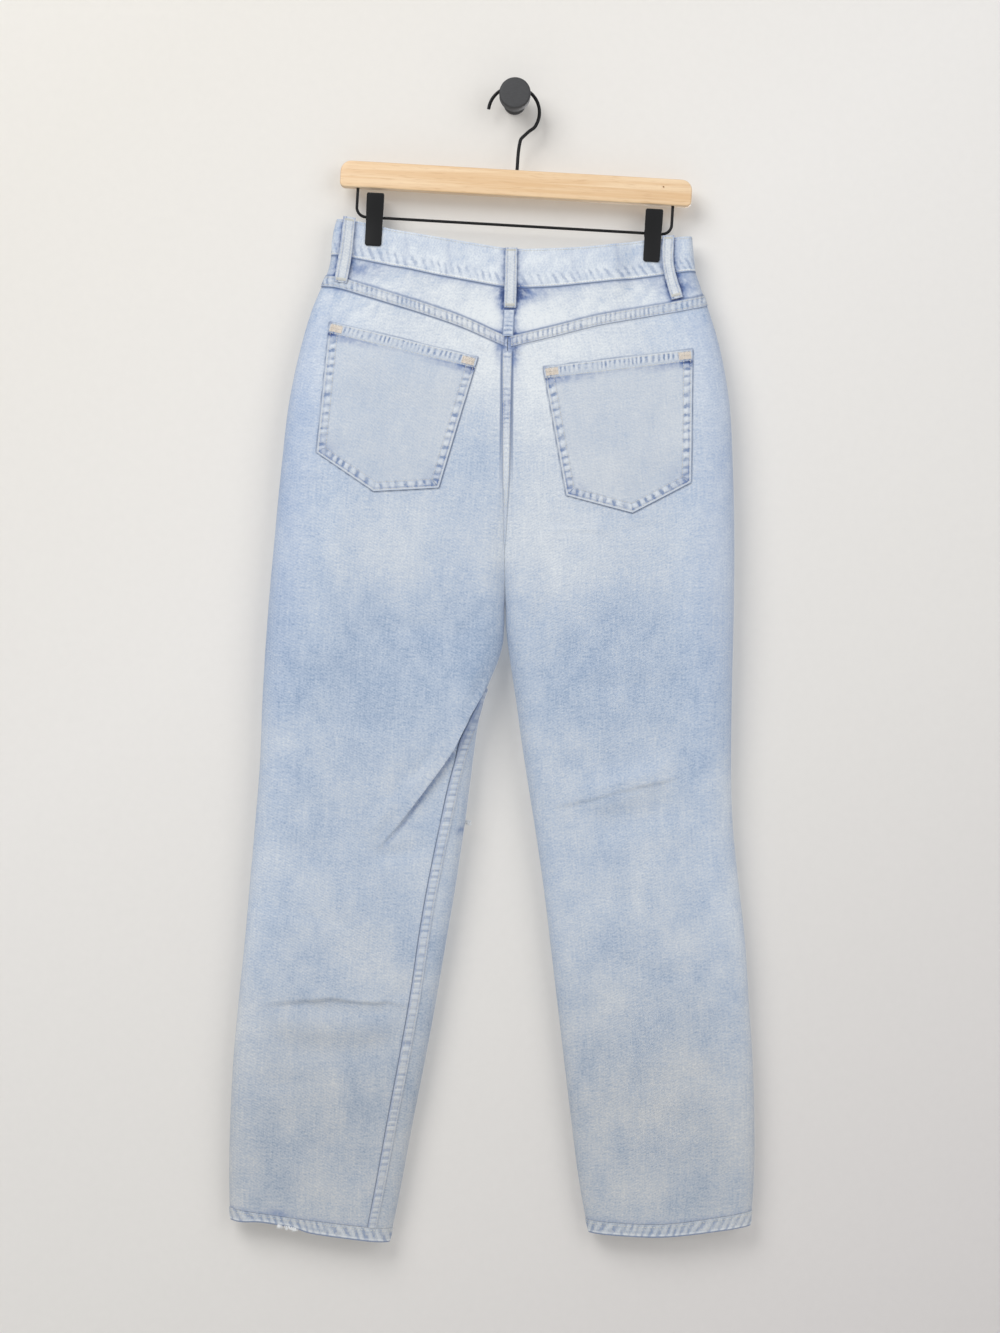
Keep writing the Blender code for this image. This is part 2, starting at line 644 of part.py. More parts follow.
def pocket_facings():
    """The hip piece behind each front pocket mouth, and the small coin pocket on the right one."""
    for side, label in ((-1, "left"), (1, "right")):
        across = columns_of(side, "front")
        across = np.clip(across[across < POCKET_MOUTH_ACROSS + 0.09], 0.006, 1)
        high = band_foot(side, "front", across) + SEAM_GAP
        low = pocket_mouth(side, across) + FACING_BELOW_MOUTH
        drop = high + np.linspace(0, 1, 6)[:, None] * (low - high)
        piece(f"pocket_facing_{label}", side, "front", across, drop, -CLOTH - SEAM_GAP)
    across = columns_of(1, "front")
    across = across[(across > 0.1) & (across < 0.41)]
    high = band_foot(1, "front", across) + COIN_BELOW_BAND
    low = pocket_mouth(1, across) - 0.8
    drop = high + np.linspace(0, 1, 4)[:, None] * (low - high)
    piece("coin_pocket", 1, "front", across, drop, -0.2, CLOTH - 0.2)


# Corners of the back pockets, as (x, drop): top at the left, top at the right, foot at the right,
# point, foot at the left, and the share of the width at which the point hangs.
BACK_POCKETS = {
    "left": ((-189.0, 231.5), (-37.8, 268.3), (-77.5, 401.9), (-143.8, 405.5), (-201.8, 366.0), 0.44),
    "right": ((28.6, 278.5), (181.0, 260.2), (179.0, 396.3), (119.4, 427.4), (52.1, 409.6), 0.53),
}
# The pocket's hemmed top: how deep, how much thicker, and half the slope at its foot. The middle of
# the pocket puffs off the seat.
POCKET_BAND, POCKET_BAND_THICK, POCKET_BAND_SLOPE = 13.0, 0.7, 1.5
POCKET_PUFF = 1.2


def back_pockets():
    for label, (*corners, point_at) in BACK_POCKETS.items():
        top_left, top_right, foot_right, point, foot_left = np.array(corners)
        columns = np.unique(np.append(np.linspace(0, 1, 10), point_at))
        to_point, past_point = columns / point_at, (columns - point_at) / (1 - point_at)
        foot = np.where(
            (columns <= point_at)[:, None],
            foot_left + to_point[:, None] * (point - foot_left),
            point + past_point[:, None] * (foot_right - point),
        )
        top = top_left + columns[:, None] * (top_right - top_left)
        tall = np.linalg.norm(foot - top, axis=-1).mean()
        band_rows = np.array([0, POCKET_BAND - POCKET_BAND_SLOPE, POCKET_BAND + POCKET_BAND_SLOPE])
        rows = np.concatenate([band_rows / tall, np.linspace(0.22, 1, 8)])
        grid = top + rows[:, None, None] * (foot - top)
        thick = PATCH_CLOTH + np.where(rows < POCKET_BAND / tall, POCKET_BAND_THICK, 0.0)
        puff = np.sin(math.pi * columns) * np.sin(math.pi * np.clip(rows, 0, 1))[:, None] ** 0.7
        lift = SEAM_GAP + POCKET_PUFF * puff
        patch(f"back_pocket_{label}", "back", grid[..., 0], grid[..., 1], lift, thick[:, None])


# Centre lines of the belt loops, as face, (x, drop) at the top, middle and foot, and how far off
# the panel the foot is sewn down, which is more where a lapped seam runs under it.
BELT_LOOPS = {
    "back_centre": ("back", (-3.6, 155.0), (-4.2, 186.0), (-5.0, 217.0), SEAM_GAP),
    "back_left": ("back", (-169.6, 122.6), (-173.8, 158.0), (-178.4, 191.0), 1.3),
    "back_right": ("back", (157.8, 141.4), (157.8, 172.0), (166.2, 207.6), 1.3),
    "front_left": ("front", (-92.0, 143.4), (-94.0, 172.0), (-96.0, 200.0), SEAM_GAP),
    "front_right": ("front", (84.0, 153.6), (86.0, 180.0), (88.0, 206.0), SEAM_GAP),
}
LOOP_WIDTH, LOOP_CLOTH, LOOP_SLACK = 12.4, 1.8, 1.4


def belt_loops():
    for label, (face, *centre, foot_lift) in BELT_LOOPS.items():
        centre = np.array(centre)
        t = np.linspace(0, 1, 9)
        knots = [(0.0, *centre[0]), (0.5, *centre[1]), (1.0, *centre[2])]
        line = np.stack([smooth_column(knots, 1)(t), smooth_column(knots, 2)(t)], -1)
        along = np.gradient(line, axis=0)
        along /= np.linalg.norm(along, axis=-1, keepdims=True)
        sideways = np.stack([along[:, 1], -along[:, 0]], -1)
        offsets = np.linspace(-0.5, 0.5, 3) * LOOP_WIDTH
        grid = line[:, None] + offsets[None, :, None] * sideways[:, None]
        top_lift = BAND_PROUD + 2 * SEAM_GAP
        lift = top_lift + (foot_lift - top_lift) * step((t - 0.75) / 0.25)
        lift = lift + LOOP_SLACK * np.sin(math.pi * t) ** 0.7
        patch(f"belt_loop_{label}", face, grid[..., 0], grid[..., 1], lift[:, None], LOOP_CLOTH)


INSEAM_LAP_FROM = 670.0
CENTRE_LAP_DROPS, CENTRE_LAP_HALF_WIDTHS = (262.0, 460.0), (5.2, 3.0)


def lapped_seams():
    """The raised laps of the double stitched seams, made from the points of the panel under each."""
    top = SEAM_GAP + LAP_CLOTH
    for side, label in ((-1, "left"), (1, "right")):
        across = np.minimum(columns_of(side, "back")[1:], 0.985)
        piece(f"yoke_lap_{label}", side, "back", across, panel_drops(side, "back")[:2, 1:], top, LAP_CLOTH)
    across = columns_of(-1, "front")
    drop = panel_drops(-1, "front")
    below_tuck = drop[:, -1] > INSEAM_LAP_FROM
    piece("inseam_lap_left", -1, "front", across[-2:], drop[below_tuck][:, -2:], top, LAP_CLOTH)
    first, last = CENTRE_LAP_DROPS
    drop = np.array([first] + [d for d in SEAT_ROWS if d < last])
    half_width = np.interp(drop, CENTRE_LAP_DROPS, CENTRE_LAP_HALF_WIDTHS)
    x = CENTRE_X(drop) + np.array([-1, 0, 1])[:, None] * half_width
    patch("centre_back_lap", "back", x, np.broadcast_to(drop, x.shape), SEAM_GAP, LAP_CLOTH)


FLY_WIDTH, FLY_TOP_DROP, FLY_FOOT_DROP, FLY_OVER = 36.0, 209.6, 352.0, 6.0
FLY_FOOT_WIDTH = 8.0
TAPE_HALF_WIDTH, TAPE_DROPS = 12.0, (214.0, 340.0)
SLIDER_THICK, SLIDER_HALF_WIDTH, SLIDER_DROPS = 2.4, 4.0, (216.0, 229.0)


def fly():
    """The fly flap on the front, left over right, and the closed zip behind it."""
    rows = np.linspace(0, 1, 10)[:, None]
    columns = np.linspace(0, 1, 6)
    drop = FLY_TOP_DROP + rows * (FLY_FOOT_DROP - FLY_TOP_DROP)
    free_edge = CENTRE_X(drop) + FLY_OVER - 3.0 * rows
    curve_in = np.clip((rows - 0.62) / 0.40, 0, 1)
    width = np.maximum(FLY_WIDTH * np.sqrt(1 - curve_in**2), FLY_FOOT_WIDTH)
    patch("fly_flap", "front", free_edge - width * columns, drop, SEAM_GAP, CLOTH)
    under = -CLOTH - SEAM_GAP - TAPE_CLOTH
    drop = np.linspace(*TAPE_DROPS, 8)
    x = CENTRE_X(drop) + np.array([-1, 0, 1])[:, None] * TAPE_HALF_WIDTH
    tape = material("cotton zip tape", (0.55, 0.60, 0.66), 0.9)
    patch("zip_tape", "front", x, drop, under, TAPE_CLOTH, tape)
    drop = np.linspace(*SLIDER_DROPS, 3)
    x = CENTRE_X(drop) + np.array([-1, 1])[:, None] * SLIDER_HALF_WIDTH
    brass = material("aged brass", (0.55, 0.40, 0.18), 0.4, 1.0)
    patch("zip_slider", "front", x, drop, under - SEAM_GAP - SLIDER_THICK, SLIDER_THICK, brass)


def turned(name, profile, segments, finish, parent=None):
    """A solid of revolution about Y from (radius, y) points, with its ends on the axis."""
    points = [(0.0, profile[0][1], 0.0)]
    for radius, y in profile[1:-1]:
        for i in range(segments):
            angle = 2 * math.pi * i / segments
            points.append((radius * math.cos(angle), y, radius * math.sin(angle)))
    points.append((0.0, profile[-1][1], 0.0))
    last = len(points) - 1
    faces = []
    for i in range(segments):
        j = (i + 1) % segments
        faces.append((0, 1 + i, 1 + j))
        for ring in range(len(profile) - 3):
            a, b = 1 + ring * segments, 1 + (ring + 1) * segments
            faces.append((a + i, b + i, b + j, a + j))
        foot = last - segments
        faces.append((foot + i, last, foot + j))
    made = new_object(name, mesh_of(name, points, faces), finish, parent)
    made.data.shade_smooth()
    made.data.set_sharp_from_angle(angle=math.radians(40))
    return made


BUTTON_DROP, BUTTON_PAST_CENTRE = 190.0, 9.0
BUTTON_PROFILE = [
    # radius, distance from the cloth
    (0, 0),
    (4.0, 0),
    (4.0, 1.6),
    (8.0, 2.2),
    (8.5, 3.2),
    (8.0, 4.4),
    (5.0, 5.0),
    (0, 5.2),
]


def waist_button():
    """The shank button at the centre front, standing on the lapped end of the waistband."""
    drop = np.array(BUTTON_DROP)
    on_lap = BAND_PROUD + BAND_CLOTH + BAND_LAP_GAP + SEAM_GAP
    seat = on_face("front", CENTRE_X(drop) + BUTTON_PAST_CENTRE, drop, on_lap)
    copper = material("aged copper", (0.50, 0.30, 0.20), 0.4, 1.0)
    made = turned("waist_button", BUTTON_PROFILE, 20, copper)
    made.location = tuple(seat * MM)


KNOB_PROFILE = [
    # radius, y
    (0, 0),
    (KNOB_FOOT, 0),
    (KNOB_FOOT, -2.0),
    (KNOB_NECK, -4.0),
    (KNOB_NECK, -30.0),
    (KNOB_HEAD - 1.5, -31.5),
    (KNOB_HEAD, -33.5),
    (KNOB_HEAD, -KNOB_REACH + 3.0),
    (KNOB_HEAD - 1.0, -KNOB_REACH + 1.0),
    (KNOB_HEAD - 3.0, -KNOB_REACH + 0.2),
    (0, -KNOB_REACH),
]


def wall_knob():
    turned("wall_knob", KNOB_PROFILE, 28, material("black stained knob", (0.035, 0.037, 0.04), 0.6))


def wire(name, path, radius, resolution, parent):
    """A round wire along a path in the hanger's plane, with closed ends."""
    curve = bpy.data.curves.new(name, "CURVE")
    curve.dimensions = "3D"
    curve.bevel_depth = radius * MM
    curve.bevel_resolution = resolution
    curve.use_fill_caps = True
    spline = curve.splines.new("POLY")
    spline.points.add(len(path) - 1)
    for point, (x, z) in zip(spline.points, path):
        point.co = (x * MM, 0, z * MM, 1)
    return new_object(name, curve, black_steel(), parent)


HOOK_BEND = [(16.5, -18.8), (11.6, -23.8), (9.4, -26.2), (8.4, -28.0), (8.0, -30.2)]


def hook_path():
    """Round the knob's neck, back in a slant to the shank, and down into the bar."""
    arc = [math.radians(a) for a in range(176, -33, -8)]
    path = [(HOOK_RADIUS * math.cos(a), HOOK_RADIUS * math.sin(a)) for a in arc]
    at_bar = (BAR_MIDDLE_X + 0.1, BAR_MIDDLE_Z + BAR_HEIGHT / 2)
    return path + HOOK_BEND + [at_bar, (BAR_MIDDLE_X, BAR_MIDDLE_Z + 1.0)]


def rail_path():
    """From inside the bar down, along and up into the bar again."""
    top = BAR_MIDDLE_Z - 3.0
    path = [(-RAIL_HALF, top)]
    for centre_x, start in ((-RAIL_HALF + RAIL_CORNER, 180), (RAIL_HALF - RAIL_CORNER, 270)):
        for i in range(6):
            angle = math.radians(start + 18 * i)
            x = centre_x + RAIL_CORNER * math.cos(angle)
            path.append((x, RAIL_Z + RAIL_CORNER + RAIL_CORNER * math.sin(angle)))
    path.append((RAIL_HALF, top))
    return [(BAR_MIDDLE_X + x, z) for x, z in path]


def prism(name, points, count):
    """A closed prism from the points of one end and then of the other, count of them at each."""
    faces = [tuple(range(count)), tuple(range(2 * count - 1, count - 1, -1))]
    faces += [(i, (i + 1) % count, count + (i + 1) % count, count + i) for i in range(count)]
    return mesh_of(name, points, faces)


def cylinder(name, radius, centre, half_length, segments, parent, upright=False):
    """A round rod in the hanger's plane, along the rail at centre x or, upright, at (x, z)."""
    x, z = centre if upright else (centre, RAIL_Z)
    points = []
    for end in (-half_length, half_length):
        for i in range(segments):
            angle = 2 * math.pi * (i + 0.5) / segments
            u, v = radius * math.cos(angle), radius * math.sin(angle)
            points.append((x + u, v, z + end) if upright else (x + end, u, z + v))
    return new_object(name, prism(name, points, segments), black_steel(), parent)


def hanger_bar(parent):
    """The wooden bar: rounded ends, eased edges, and holes for the hook and the rail."""
    corners = [(1, 1, 11.0), (-1, 1, 11.0), (-1, -1, 5.0), (1, -1, 5.0)]
    outline = []
    for quarter, (sx, sz, radius) in enumerate(corners):
        for i in range(6):
            angle = math.radians(90 * quarter + 18 * i)
            x = BAR_MIDDLE_X + sx * (BAR_LENGTH / 2 - radius) + radius * math.cos(angle)
            z = BAR_MIDDLE_Z + sz * (BAR_HEIGHT / 2 - radius) + radius * math.sin(angle)
            outline.append((x, z))
    points = [(x, y, z) for y in (-BAR_THICK / 2, BAR_THICK / 2) for x, z in outline]
    wood = material("clear finished beech", (0.80, 0.58, 0.36), 0.45)
    made = new_object("hanger_bar", prism("hanger_bar", points, len(outline)), wood, parent)
    bevel = made.modifiers.new("eased edges", "BEVEL")
    bevel.width = 1.6 * MM
    bevel.segments = 2
    bevel.limit_method = "ANGLE"
    bevel.angle_limit = math.radians(60)
    top, foot = BAR_MIDDLE_Z + BAR_HEIGHT / 2 + 4, BAR_MIDDLE_Z - BAR_HEIGHT / 2 - 4
    holes = [("hook_hole", HOOK_WIRE, BAR_MIDDLE_X + 0.05, BAR_MIDDLE_Z + 0.4, top)]
    for side, label in ((-1, "left"), (1, "right")):
        x = BAR_MIDDLE_X + side * RAIL_HALF
        holes.append((f"rail_hole_{label}", RAIL_WIRE, x, foot, BAR_MIDDLE_Z - 2.4))
    for name, radius, x, low, high in holes:
        middle, half = (low + high) / 2, (high - low) / 2
        drill = cylinder(name, radius + HOLE_ROOM, (x, middle), half, 16, parent, upright=True)
        combine(made, drill, "DIFFERENCE")


CLIP_JAW = [
    # distance of the plate's middle from the hanging plane, z, width
    (4.1, CLIP_TIP_Z, 13.2),
    (4.1, CLIP_TIP_Z + 0.7, 15.6),
    (4.1, CLIP_TIP_Z + 2.2, 17.0),
    (4.1, -129.0, 17.0),
    (5.6, RAIL_Z, 17.4),
    (6.8, -108.0, 18.0),
    (9.1, CLIP_TOP_Z - 1.8, 18.0),
    (9.3, CLIP_TOP_Z - 0.5, 17.0),
    (9.4, CLIP_TOP_Z, 15.0),
]
# The ear's outline as (y, z) from the rail, and its thickness. It is bent in from the jaw's edge.
EAR_OUTLINE = [(-5.6, -4.5), (-6.2, 4.5), (1.0, 3.4), (3.4, 1.4), (3.4, -1.4), (1.0, -3.4)]
EAR_THICK = 1.2
JAW_HALF_WIDTH_AT_RAIL = 8.7
SPRING_RADIUS, SPRING_HALF_LENGTH = 3.3, 5.5


def clip_jaw(name, centre_x, facing, narrower, parent):
    """One jaw of a clip, a bent plate. facing is -1 for the jaw on the side that shows."""
    path = np.array(CLIP_JAW)
    along = np.gradient(path[:, :2], axis=0)
    along /= np.linalg.norm(along, axis=-1, keepdims=True)
    out_y, out_z = along[:, 1], -along[:, 0]
    half = (path[:, 2] - narrower) / 2
    layers = []
    for offset in (CLIP_PLATE / 2, -CLIP_PLATE / 2):
        y = facing * (path[:, 0] + out_y * offset)
        z = path[:, 1] + out_z * offset
        x = centre_x + np.array([-1.0, 1.0]) * half[:, None]
        layers.append(np.stack(np.broadcast_arrays(x, y[:, None], z[:, None]), -1))
    return wall(name, *layers, black_steel(), parent=parent)


def join_ears(jaw, label, centre_x, parent):
    """The jaw's two ears, bent in at its edges, which hold it on the rail."""
    for side, end in ((-1, "outer"), (1, "inner")):
        name = f"ear_{label}_{end}"
        edge = centre_x + side * JAW_HALF_WIDTH_AT_RAIL
        ends = (edge, edge - side * EAR_THICK)
        points = [(x, y, RAIL_Z + z) for x in ends for y, z in EAR_OUTLINE]
        mesh = prism(name, points, len(EAR_OUTLINE))
        combine(jaw, new_object(name, mesh, black_steel(), parent), "UNION")
    bore = cylinder(f"ear_bore_{label}", RAIL_WIRE + HOLE_ROOM, centre_x, 12.0, 12, parent)
    combine(jaw, bore, "DIFFERENCE")


def clip_spring(name, centre_x, parent):
    """The closely wound spring round the rail, as one plain sleeve."""
    made = cylinder(name, SPRING_RADIUS, centre_x, SPRING_HALF_LENGTH, 16, parent)
    bore = cylinder(f"{name}_bore", RAIL_WIRE + HOLE_ROOM, centre_x, SPRING_HALF_LENGTH + 2.5, 12, parent)
    combine(made, bore, "DIFFERENCE")


def hanger():
    """Everything of the hanger is made upright and hangs from one empty, which tilts it."""
    frame = bpy.data.objects.new("hanger_frame", None)
    bpy.context.scene.collection.objects.link(frame)
    frame.location = tuple(v * MM for v in HOOK_CENTRE)
    frame.rotation_euler = (0, HANGER_TILT, 0)
    wire("hanger_hook", hook_path(), HOOK_WIRE, 2, frame)
    hanger_bar(frame)
    wire("clip_rail", rail_path(), RAIL_WIRE, 2, frame)
    for side, label in ((-1, "left"), (1, "right")):
        centre_x = BAR_MIDDLE_X + side * CLIP_FROM_MIDDLE
        jaw = clip_jaw(f"clip_{label}_jaw_front", centre_x, -1, 0.0, frame)
        join_ears(jaw, label, centre_x, frame)
        clip_jaw(f"clip_{label}_jaw_back", centre_x, 1, 2 * EAR_THICK + 1.0, frame)
        clip_spring(f"clip_{label}_spring", centre_x, frame)


def clear_scene():
    for old in list(bpy.data.objects):
        bpy.data.objects.remove(old)


def main():
    clear_scene()
    wall_knob()
    hanger()
    waistband()
    yokes()
    leg_panels()
    hems()
    back_pockets()
    pocket_facings()
    fly()
    waist_button()
    belt_loops()
    lapped_seams()


main()
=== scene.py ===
# %% [markdown]
# # Light wash jeans on a clip hanger
# These jeans hang flat by the waistband from a wooden hanger, with their back to the camera.
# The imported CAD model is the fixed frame. This file lays finer cloth, thread, wood and wire over it,
# in the same place and at the same size.

# %% Load the frame
import math

import bmesh
import bpy
import numpy as np
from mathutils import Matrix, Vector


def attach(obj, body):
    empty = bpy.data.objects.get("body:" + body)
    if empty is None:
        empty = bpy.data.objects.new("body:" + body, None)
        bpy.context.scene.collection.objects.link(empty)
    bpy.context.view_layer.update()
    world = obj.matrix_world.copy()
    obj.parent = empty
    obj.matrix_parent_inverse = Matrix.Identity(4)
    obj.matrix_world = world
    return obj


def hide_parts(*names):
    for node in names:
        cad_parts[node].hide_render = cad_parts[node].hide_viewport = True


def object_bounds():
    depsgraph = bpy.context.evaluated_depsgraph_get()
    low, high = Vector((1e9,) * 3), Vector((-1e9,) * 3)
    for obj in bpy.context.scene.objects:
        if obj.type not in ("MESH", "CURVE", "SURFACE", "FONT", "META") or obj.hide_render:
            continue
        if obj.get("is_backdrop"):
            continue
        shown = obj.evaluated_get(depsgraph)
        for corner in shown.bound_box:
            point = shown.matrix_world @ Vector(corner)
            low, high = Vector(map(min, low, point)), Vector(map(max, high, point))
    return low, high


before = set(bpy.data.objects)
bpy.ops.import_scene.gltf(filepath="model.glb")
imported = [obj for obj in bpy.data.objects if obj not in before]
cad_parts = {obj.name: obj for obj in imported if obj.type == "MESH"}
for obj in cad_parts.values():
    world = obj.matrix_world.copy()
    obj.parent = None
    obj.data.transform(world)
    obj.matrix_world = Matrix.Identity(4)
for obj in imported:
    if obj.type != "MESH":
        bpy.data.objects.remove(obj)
cad_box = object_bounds()
MM = 0.001
print("nodes in the frame:", len(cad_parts))

# %% [markdown]
# ## Three small helpers
# Colours are written as sRGB hex values, as a dye chart gives them, and turned to Blender's linear
# values in one place. `add` puts one node in a tree with its settings and links, so a material reads
# as a list of what feeds what.

# %% Colour and node helpers


def rgba(text):
    """Linear colour from an sRGB hex value such as #C6CFDA."""
    parts = [int(text[i : i + 2], 16) / 255 for i in (1, 3, 5)]
    return (*(v / 12.92 if v <= 0.04045 else ((v + 0.055) / 1.055) ** 2.4 for v in parts), 1)


def add(tree, kind, inputs=None, **settings):
    """A node with its settings, and its inputs given as values or as the sockets that feed them."""
    node = tree.nodes.new(kind)
    for name, value in settings.items():
        setattr(node, name, value)
    for key, value in (inputs or {}).items():
        if isinstance(value, bpy.types.NodeSocket):
            tree.links.new(value, node.inputs[key])
        else:
            node.inputs[key].default_value = value
    return node


def new_material(name):
    """An empty material, its tree and its Principled shader."""
    made = bpy.data.materials.new(name)
    made.use_nodes = True
    return made, made.node_tree, made.node_tree.nodes["Principled BSDF"]


def finish_piece(made, slot, *nodes):
    """The piece moves with the one body and hides the CAD nodes that it stands for. Its slot argument is not used."""
    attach(made, "root")
    if nodes:
        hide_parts(*nodes)
    return made


# %% Mesh helpers


def from_shell(name, shell, finish, angle=32):
    """An object from a finished bmesh, smooth but for its sharp edges."""
    mesh = bpy.data.meshes.new(name)
    shell.to_mesh(mesh)
    shell.free()
    mesh.materials.append(finish)
    mesh.shade_smooth()
    mesh.set_sharp_from_angle(angle=math.radians(angle))
    made = bpy.data.objects.new(name, mesh)
    bpy.context.scene.collection.objects.link(made)
    return made


def drilled(target, drills, operation="DIFFERENCE"):
    """The target with each tool cut away or joined, as one plain mesh."""
    for tool in drills:
        cut = target.modifiers.new("drill", "BOOLEAN")
        cut.operation, cut.solver, cut.object = operation, "EXACT", tool
    settle(target)
    for tool in drills:
        bpy.data.objects.remove(tool)
    return target


def settle(made):
    """Turns what the modifiers give into the object's own mesh and removes them."""
    graph = bpy.context.evaluated_depsgraph_get()
    mesh = bpy.data.meshes.new_from_object(made.evaluated_get(graph))
    made.modifiers.clear()
    made.data = mesh
    mesh.set_sharp_from_angle(angle=math.radians(38))
    return made


print("helpers ready")

# %% [markdown]
# ## Camera, wall, floor and light
# The photograph was taken square to the wall from about 2.4 m, which a 62.5 mm lens frames. The wall
# is a backdrop that only the camera sees, and it is clear from behind, so it hides nothing in the
# other views. The light is one very large soft box up on the left, with weaker ones to fill.

# %% Camera
camera = bpy.data.objects.new("camera", bpy.data.cameras.new("camera"))
bpy.context.scene.collection.objects.link(camera)
camera.location = (-0.01525, -2.4, -0.5835)
camera.rotation_euler = (math.pi / 2, 0, 0)
camera.data.lens = 62.5
camera.data.sensor_width = 36
bpy.context.scene.camera = camera
print("camera at", tuple(camera.location))

# %% Wall and floor


def plane(name, corners, finish):
    mesh = bpy.data.meshes.new(name)
    mesh.from_pydata(corners, [], [(0, 1, 2, 3)])
    mesh.materials.append(finish)
    made = bpy.data.objects.new(name, mesh)
    bpy.context.scene.collection.objects.link(made)
    made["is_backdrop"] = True
    return made


# Matt emulsion paint: no sheen, and a very faint roller mottle about 8 mm across.
wall_paint, tree, shader = new_material("matt wall paint")
place_node = add(tree, "ShaderNodeTexCoord")
mottle = add(tree, "ShaderNodeTexNoise", {"Vector": place_node.outputs["Object"], "Scale": 120})
tone = add(tree, "ShaderNodeMix", {0: mottle.outputs[0], 6: rgba("#E8E5E1"), 7: rgba("#EBE8E4")}, data_type="RGBA")
# The room's light falls off towards the lower right, which the paint takes up here.
parts = add(tree, "ShaderNodeSeparateXYZ", {0: place_node.outputs["Object"]})
sideways = add(tree, "ShaderNodeMath", {0: parts.outputs[0], 1: 0.28, 2: 0.25}, operation="MULTIPLY_ADD")
share = add(tree, "ShaderNodeMath", {0: parts.outputs[2], 1: -0.34, 2: sideways.outputs[0]}, operation="MULTIPLY_ADD")
fall = add(tree, "ShaderNodeValToRGB", {0: share.outputs[0]})
fall.color_ramp.elements[0].position, fall.color_ramp.elements[0].color = 0.13, rgba("#F7F6F2")
fall.color_ramp.elements[1].position, fall.color_ramp.elements[1].color = 1, rgba("#DCDBDB")
for position, colour in ((0.35, "#FEFEFD"), (0.56, "#F9F9F8"), (0.77, "#EEEDEE")):
    fall.color_ramp.elements.new(position).color = rgba(colour)
tone = add(tree, "ShaderNodeMix", {0: 1, 6: tone.outputs[2], 7: fall.outputs[0]}, data_type="RGBA", blend_type="MULTIPLY")
tree.links.new(tone.outputs[2], shader.inputs["Base Color"])
shader.inputs["Roughness"].default_value = 0.95
from_behind = add(tree, "ShaderNodeNewGeometry")
clear = add(tree, "ShaderNodeBsdfTransparent")
one_way = add(tree, "ShaderNodeMixShader", {0: from_behind.outputs["Backfacing"], 1: shader.outputs[0], 2: clear.outputs[0]})
tree.links.new(one_way.outputs[0], tree.nodes["Material Output"].inputs["Surface"])
backdrop = plane("wall_backdrop", [(-4, 0.001, -3), (4, 0.001, -3), (4, 0.001, 3), (-4, 0.001, 3)], wall_paint)
for ray in ("visible_shadow", "visible_diffuse", "visible_glossy", "visible_transmission"):
    setattr(backdrop, ray, False)

floor_paint, tree, shader = new_material("matt floor paint")
shader.inputs["Base Color"].default_value = rgba("#E4E1DC")
shader.inputs["Roughness"].default_value = 0.9
floor_z = -1.5
plane("floor", [(-5, -5, floor_z), (5, -5, floor_z), (5, 5, floor_z), (-5, 5, floor_z)], floor_paint)
print("floor at", floor_z)

# %% Lights


def soft_box(name, place, aim, size, power, colour):
    light = bpy.data.lights.new(name, "AREA")
    light.shape = "RECTANGLE"
    light.size, light.size_y = size
    light.energy = power
    light.color = rgba(colour)[:3]
    made = bpy.data.objects.new(name, light)
    bpy.context.scene.collection.objects.link(made)
    made.location = place
    toward = Vector(aim) - Vector(place)
    made.rotation_euler = toward.to_track_quat("-Z", "Y").to_euler()


soft_box("key_light", (-1.1, -1.9, 1), (0.05, 0, -0.45), (1.5, 1.5), 34, "#FFFFFF")
soft_box("fill_light", (1.7, -2.4, 0.1), (0.1, 0, -0.5), (1.8, 1.8), 17, "#FAFCFF")
soft_box("back_light", (0.9, 2.2, 0.3), (0, 0, -0.5), (1.8, 1.8), 26, "#FFFFFF")
world = bpy.data.worlds.new("studio")
bpy.context.scene.world = world
world.use_nodes = True
world.node_tree.nodes["Background"].inputs["Color"].default_value = rgba("#F3F5FA")
world.node_tree.nodes["Background"].inputs["Strength"].default_value = 0.56
bpy.context.scene.view_settings.view_transform = "Standard"
print("three soft boxes and a pale studio")

# %% [markdown]
# ## The shape of the cloth
# A trouser half is a flattened tube. Its section at each height has a round fold at the side, flat
# faces and a round fold at the inner leg. The tables below are the same as in the part's source, so
# the fine cloth lies where the CAD cloth lies. Sizes are in millimetres, and "drop" is the distance
# below the knob.

# %% Tables of the section
SECTIONS = [
    # drop, left side, right side, half depth, side round, middle
    (118, -181, 181, 7, 9, -22),
    (137, -185.5, 181.5, 7.4, 9.5, -22),
    (156, -188, 182.5, 8.2, 11, -22),
    (174, -191, 184.5, 9.4, 13, -22),
    (192, -198, 190, 10.8, 16, -22.6),
    (218, -208.5, 199, 12.8, 21, -23.6),
    (254, -219, 209.5, 15.2, 27, -25),
    (310, -231, 219.5, 18.2, 34, -26.4),
    (382, -239.5, 223.5, 20.2, 40, -27.2),
    (454, -246.5, 225, 21, 42, -27.4),
    (521, -252.5, 224.5, 20.6, 41, -27),
    (618, -259, 222.5, 18.4, 38, -25),
    (680, -261.5, 222, 17.2, 35, -23.8),
    (742, -266.5, 223.5, 16.2, 33, -22.6),
    (803, -272, 229.5, 15.4, 32, -21.6),
    (865, -277.5, 236.5, 14.8, 31, -20.8),
    (927, -284, 240.5, 14.2, 30, -20),
    (988, -289.5, 244.5, 13.6, 29, -19.2),
    (1050, -292.8, 246.5, 13, 28, -18.4),
    (1112, -294, 246, 12.4, 27, -17.6),
    (1185, -291.5, 240, 11.8, 26, -16.8),
]
CENTRE_SEAM = [(118, -4), (197, -5), (256, -7.6), (330, -8.6), (393, -9.2), (455, -10.4), (521, -10.2)]
CROTCH_DROP = 521
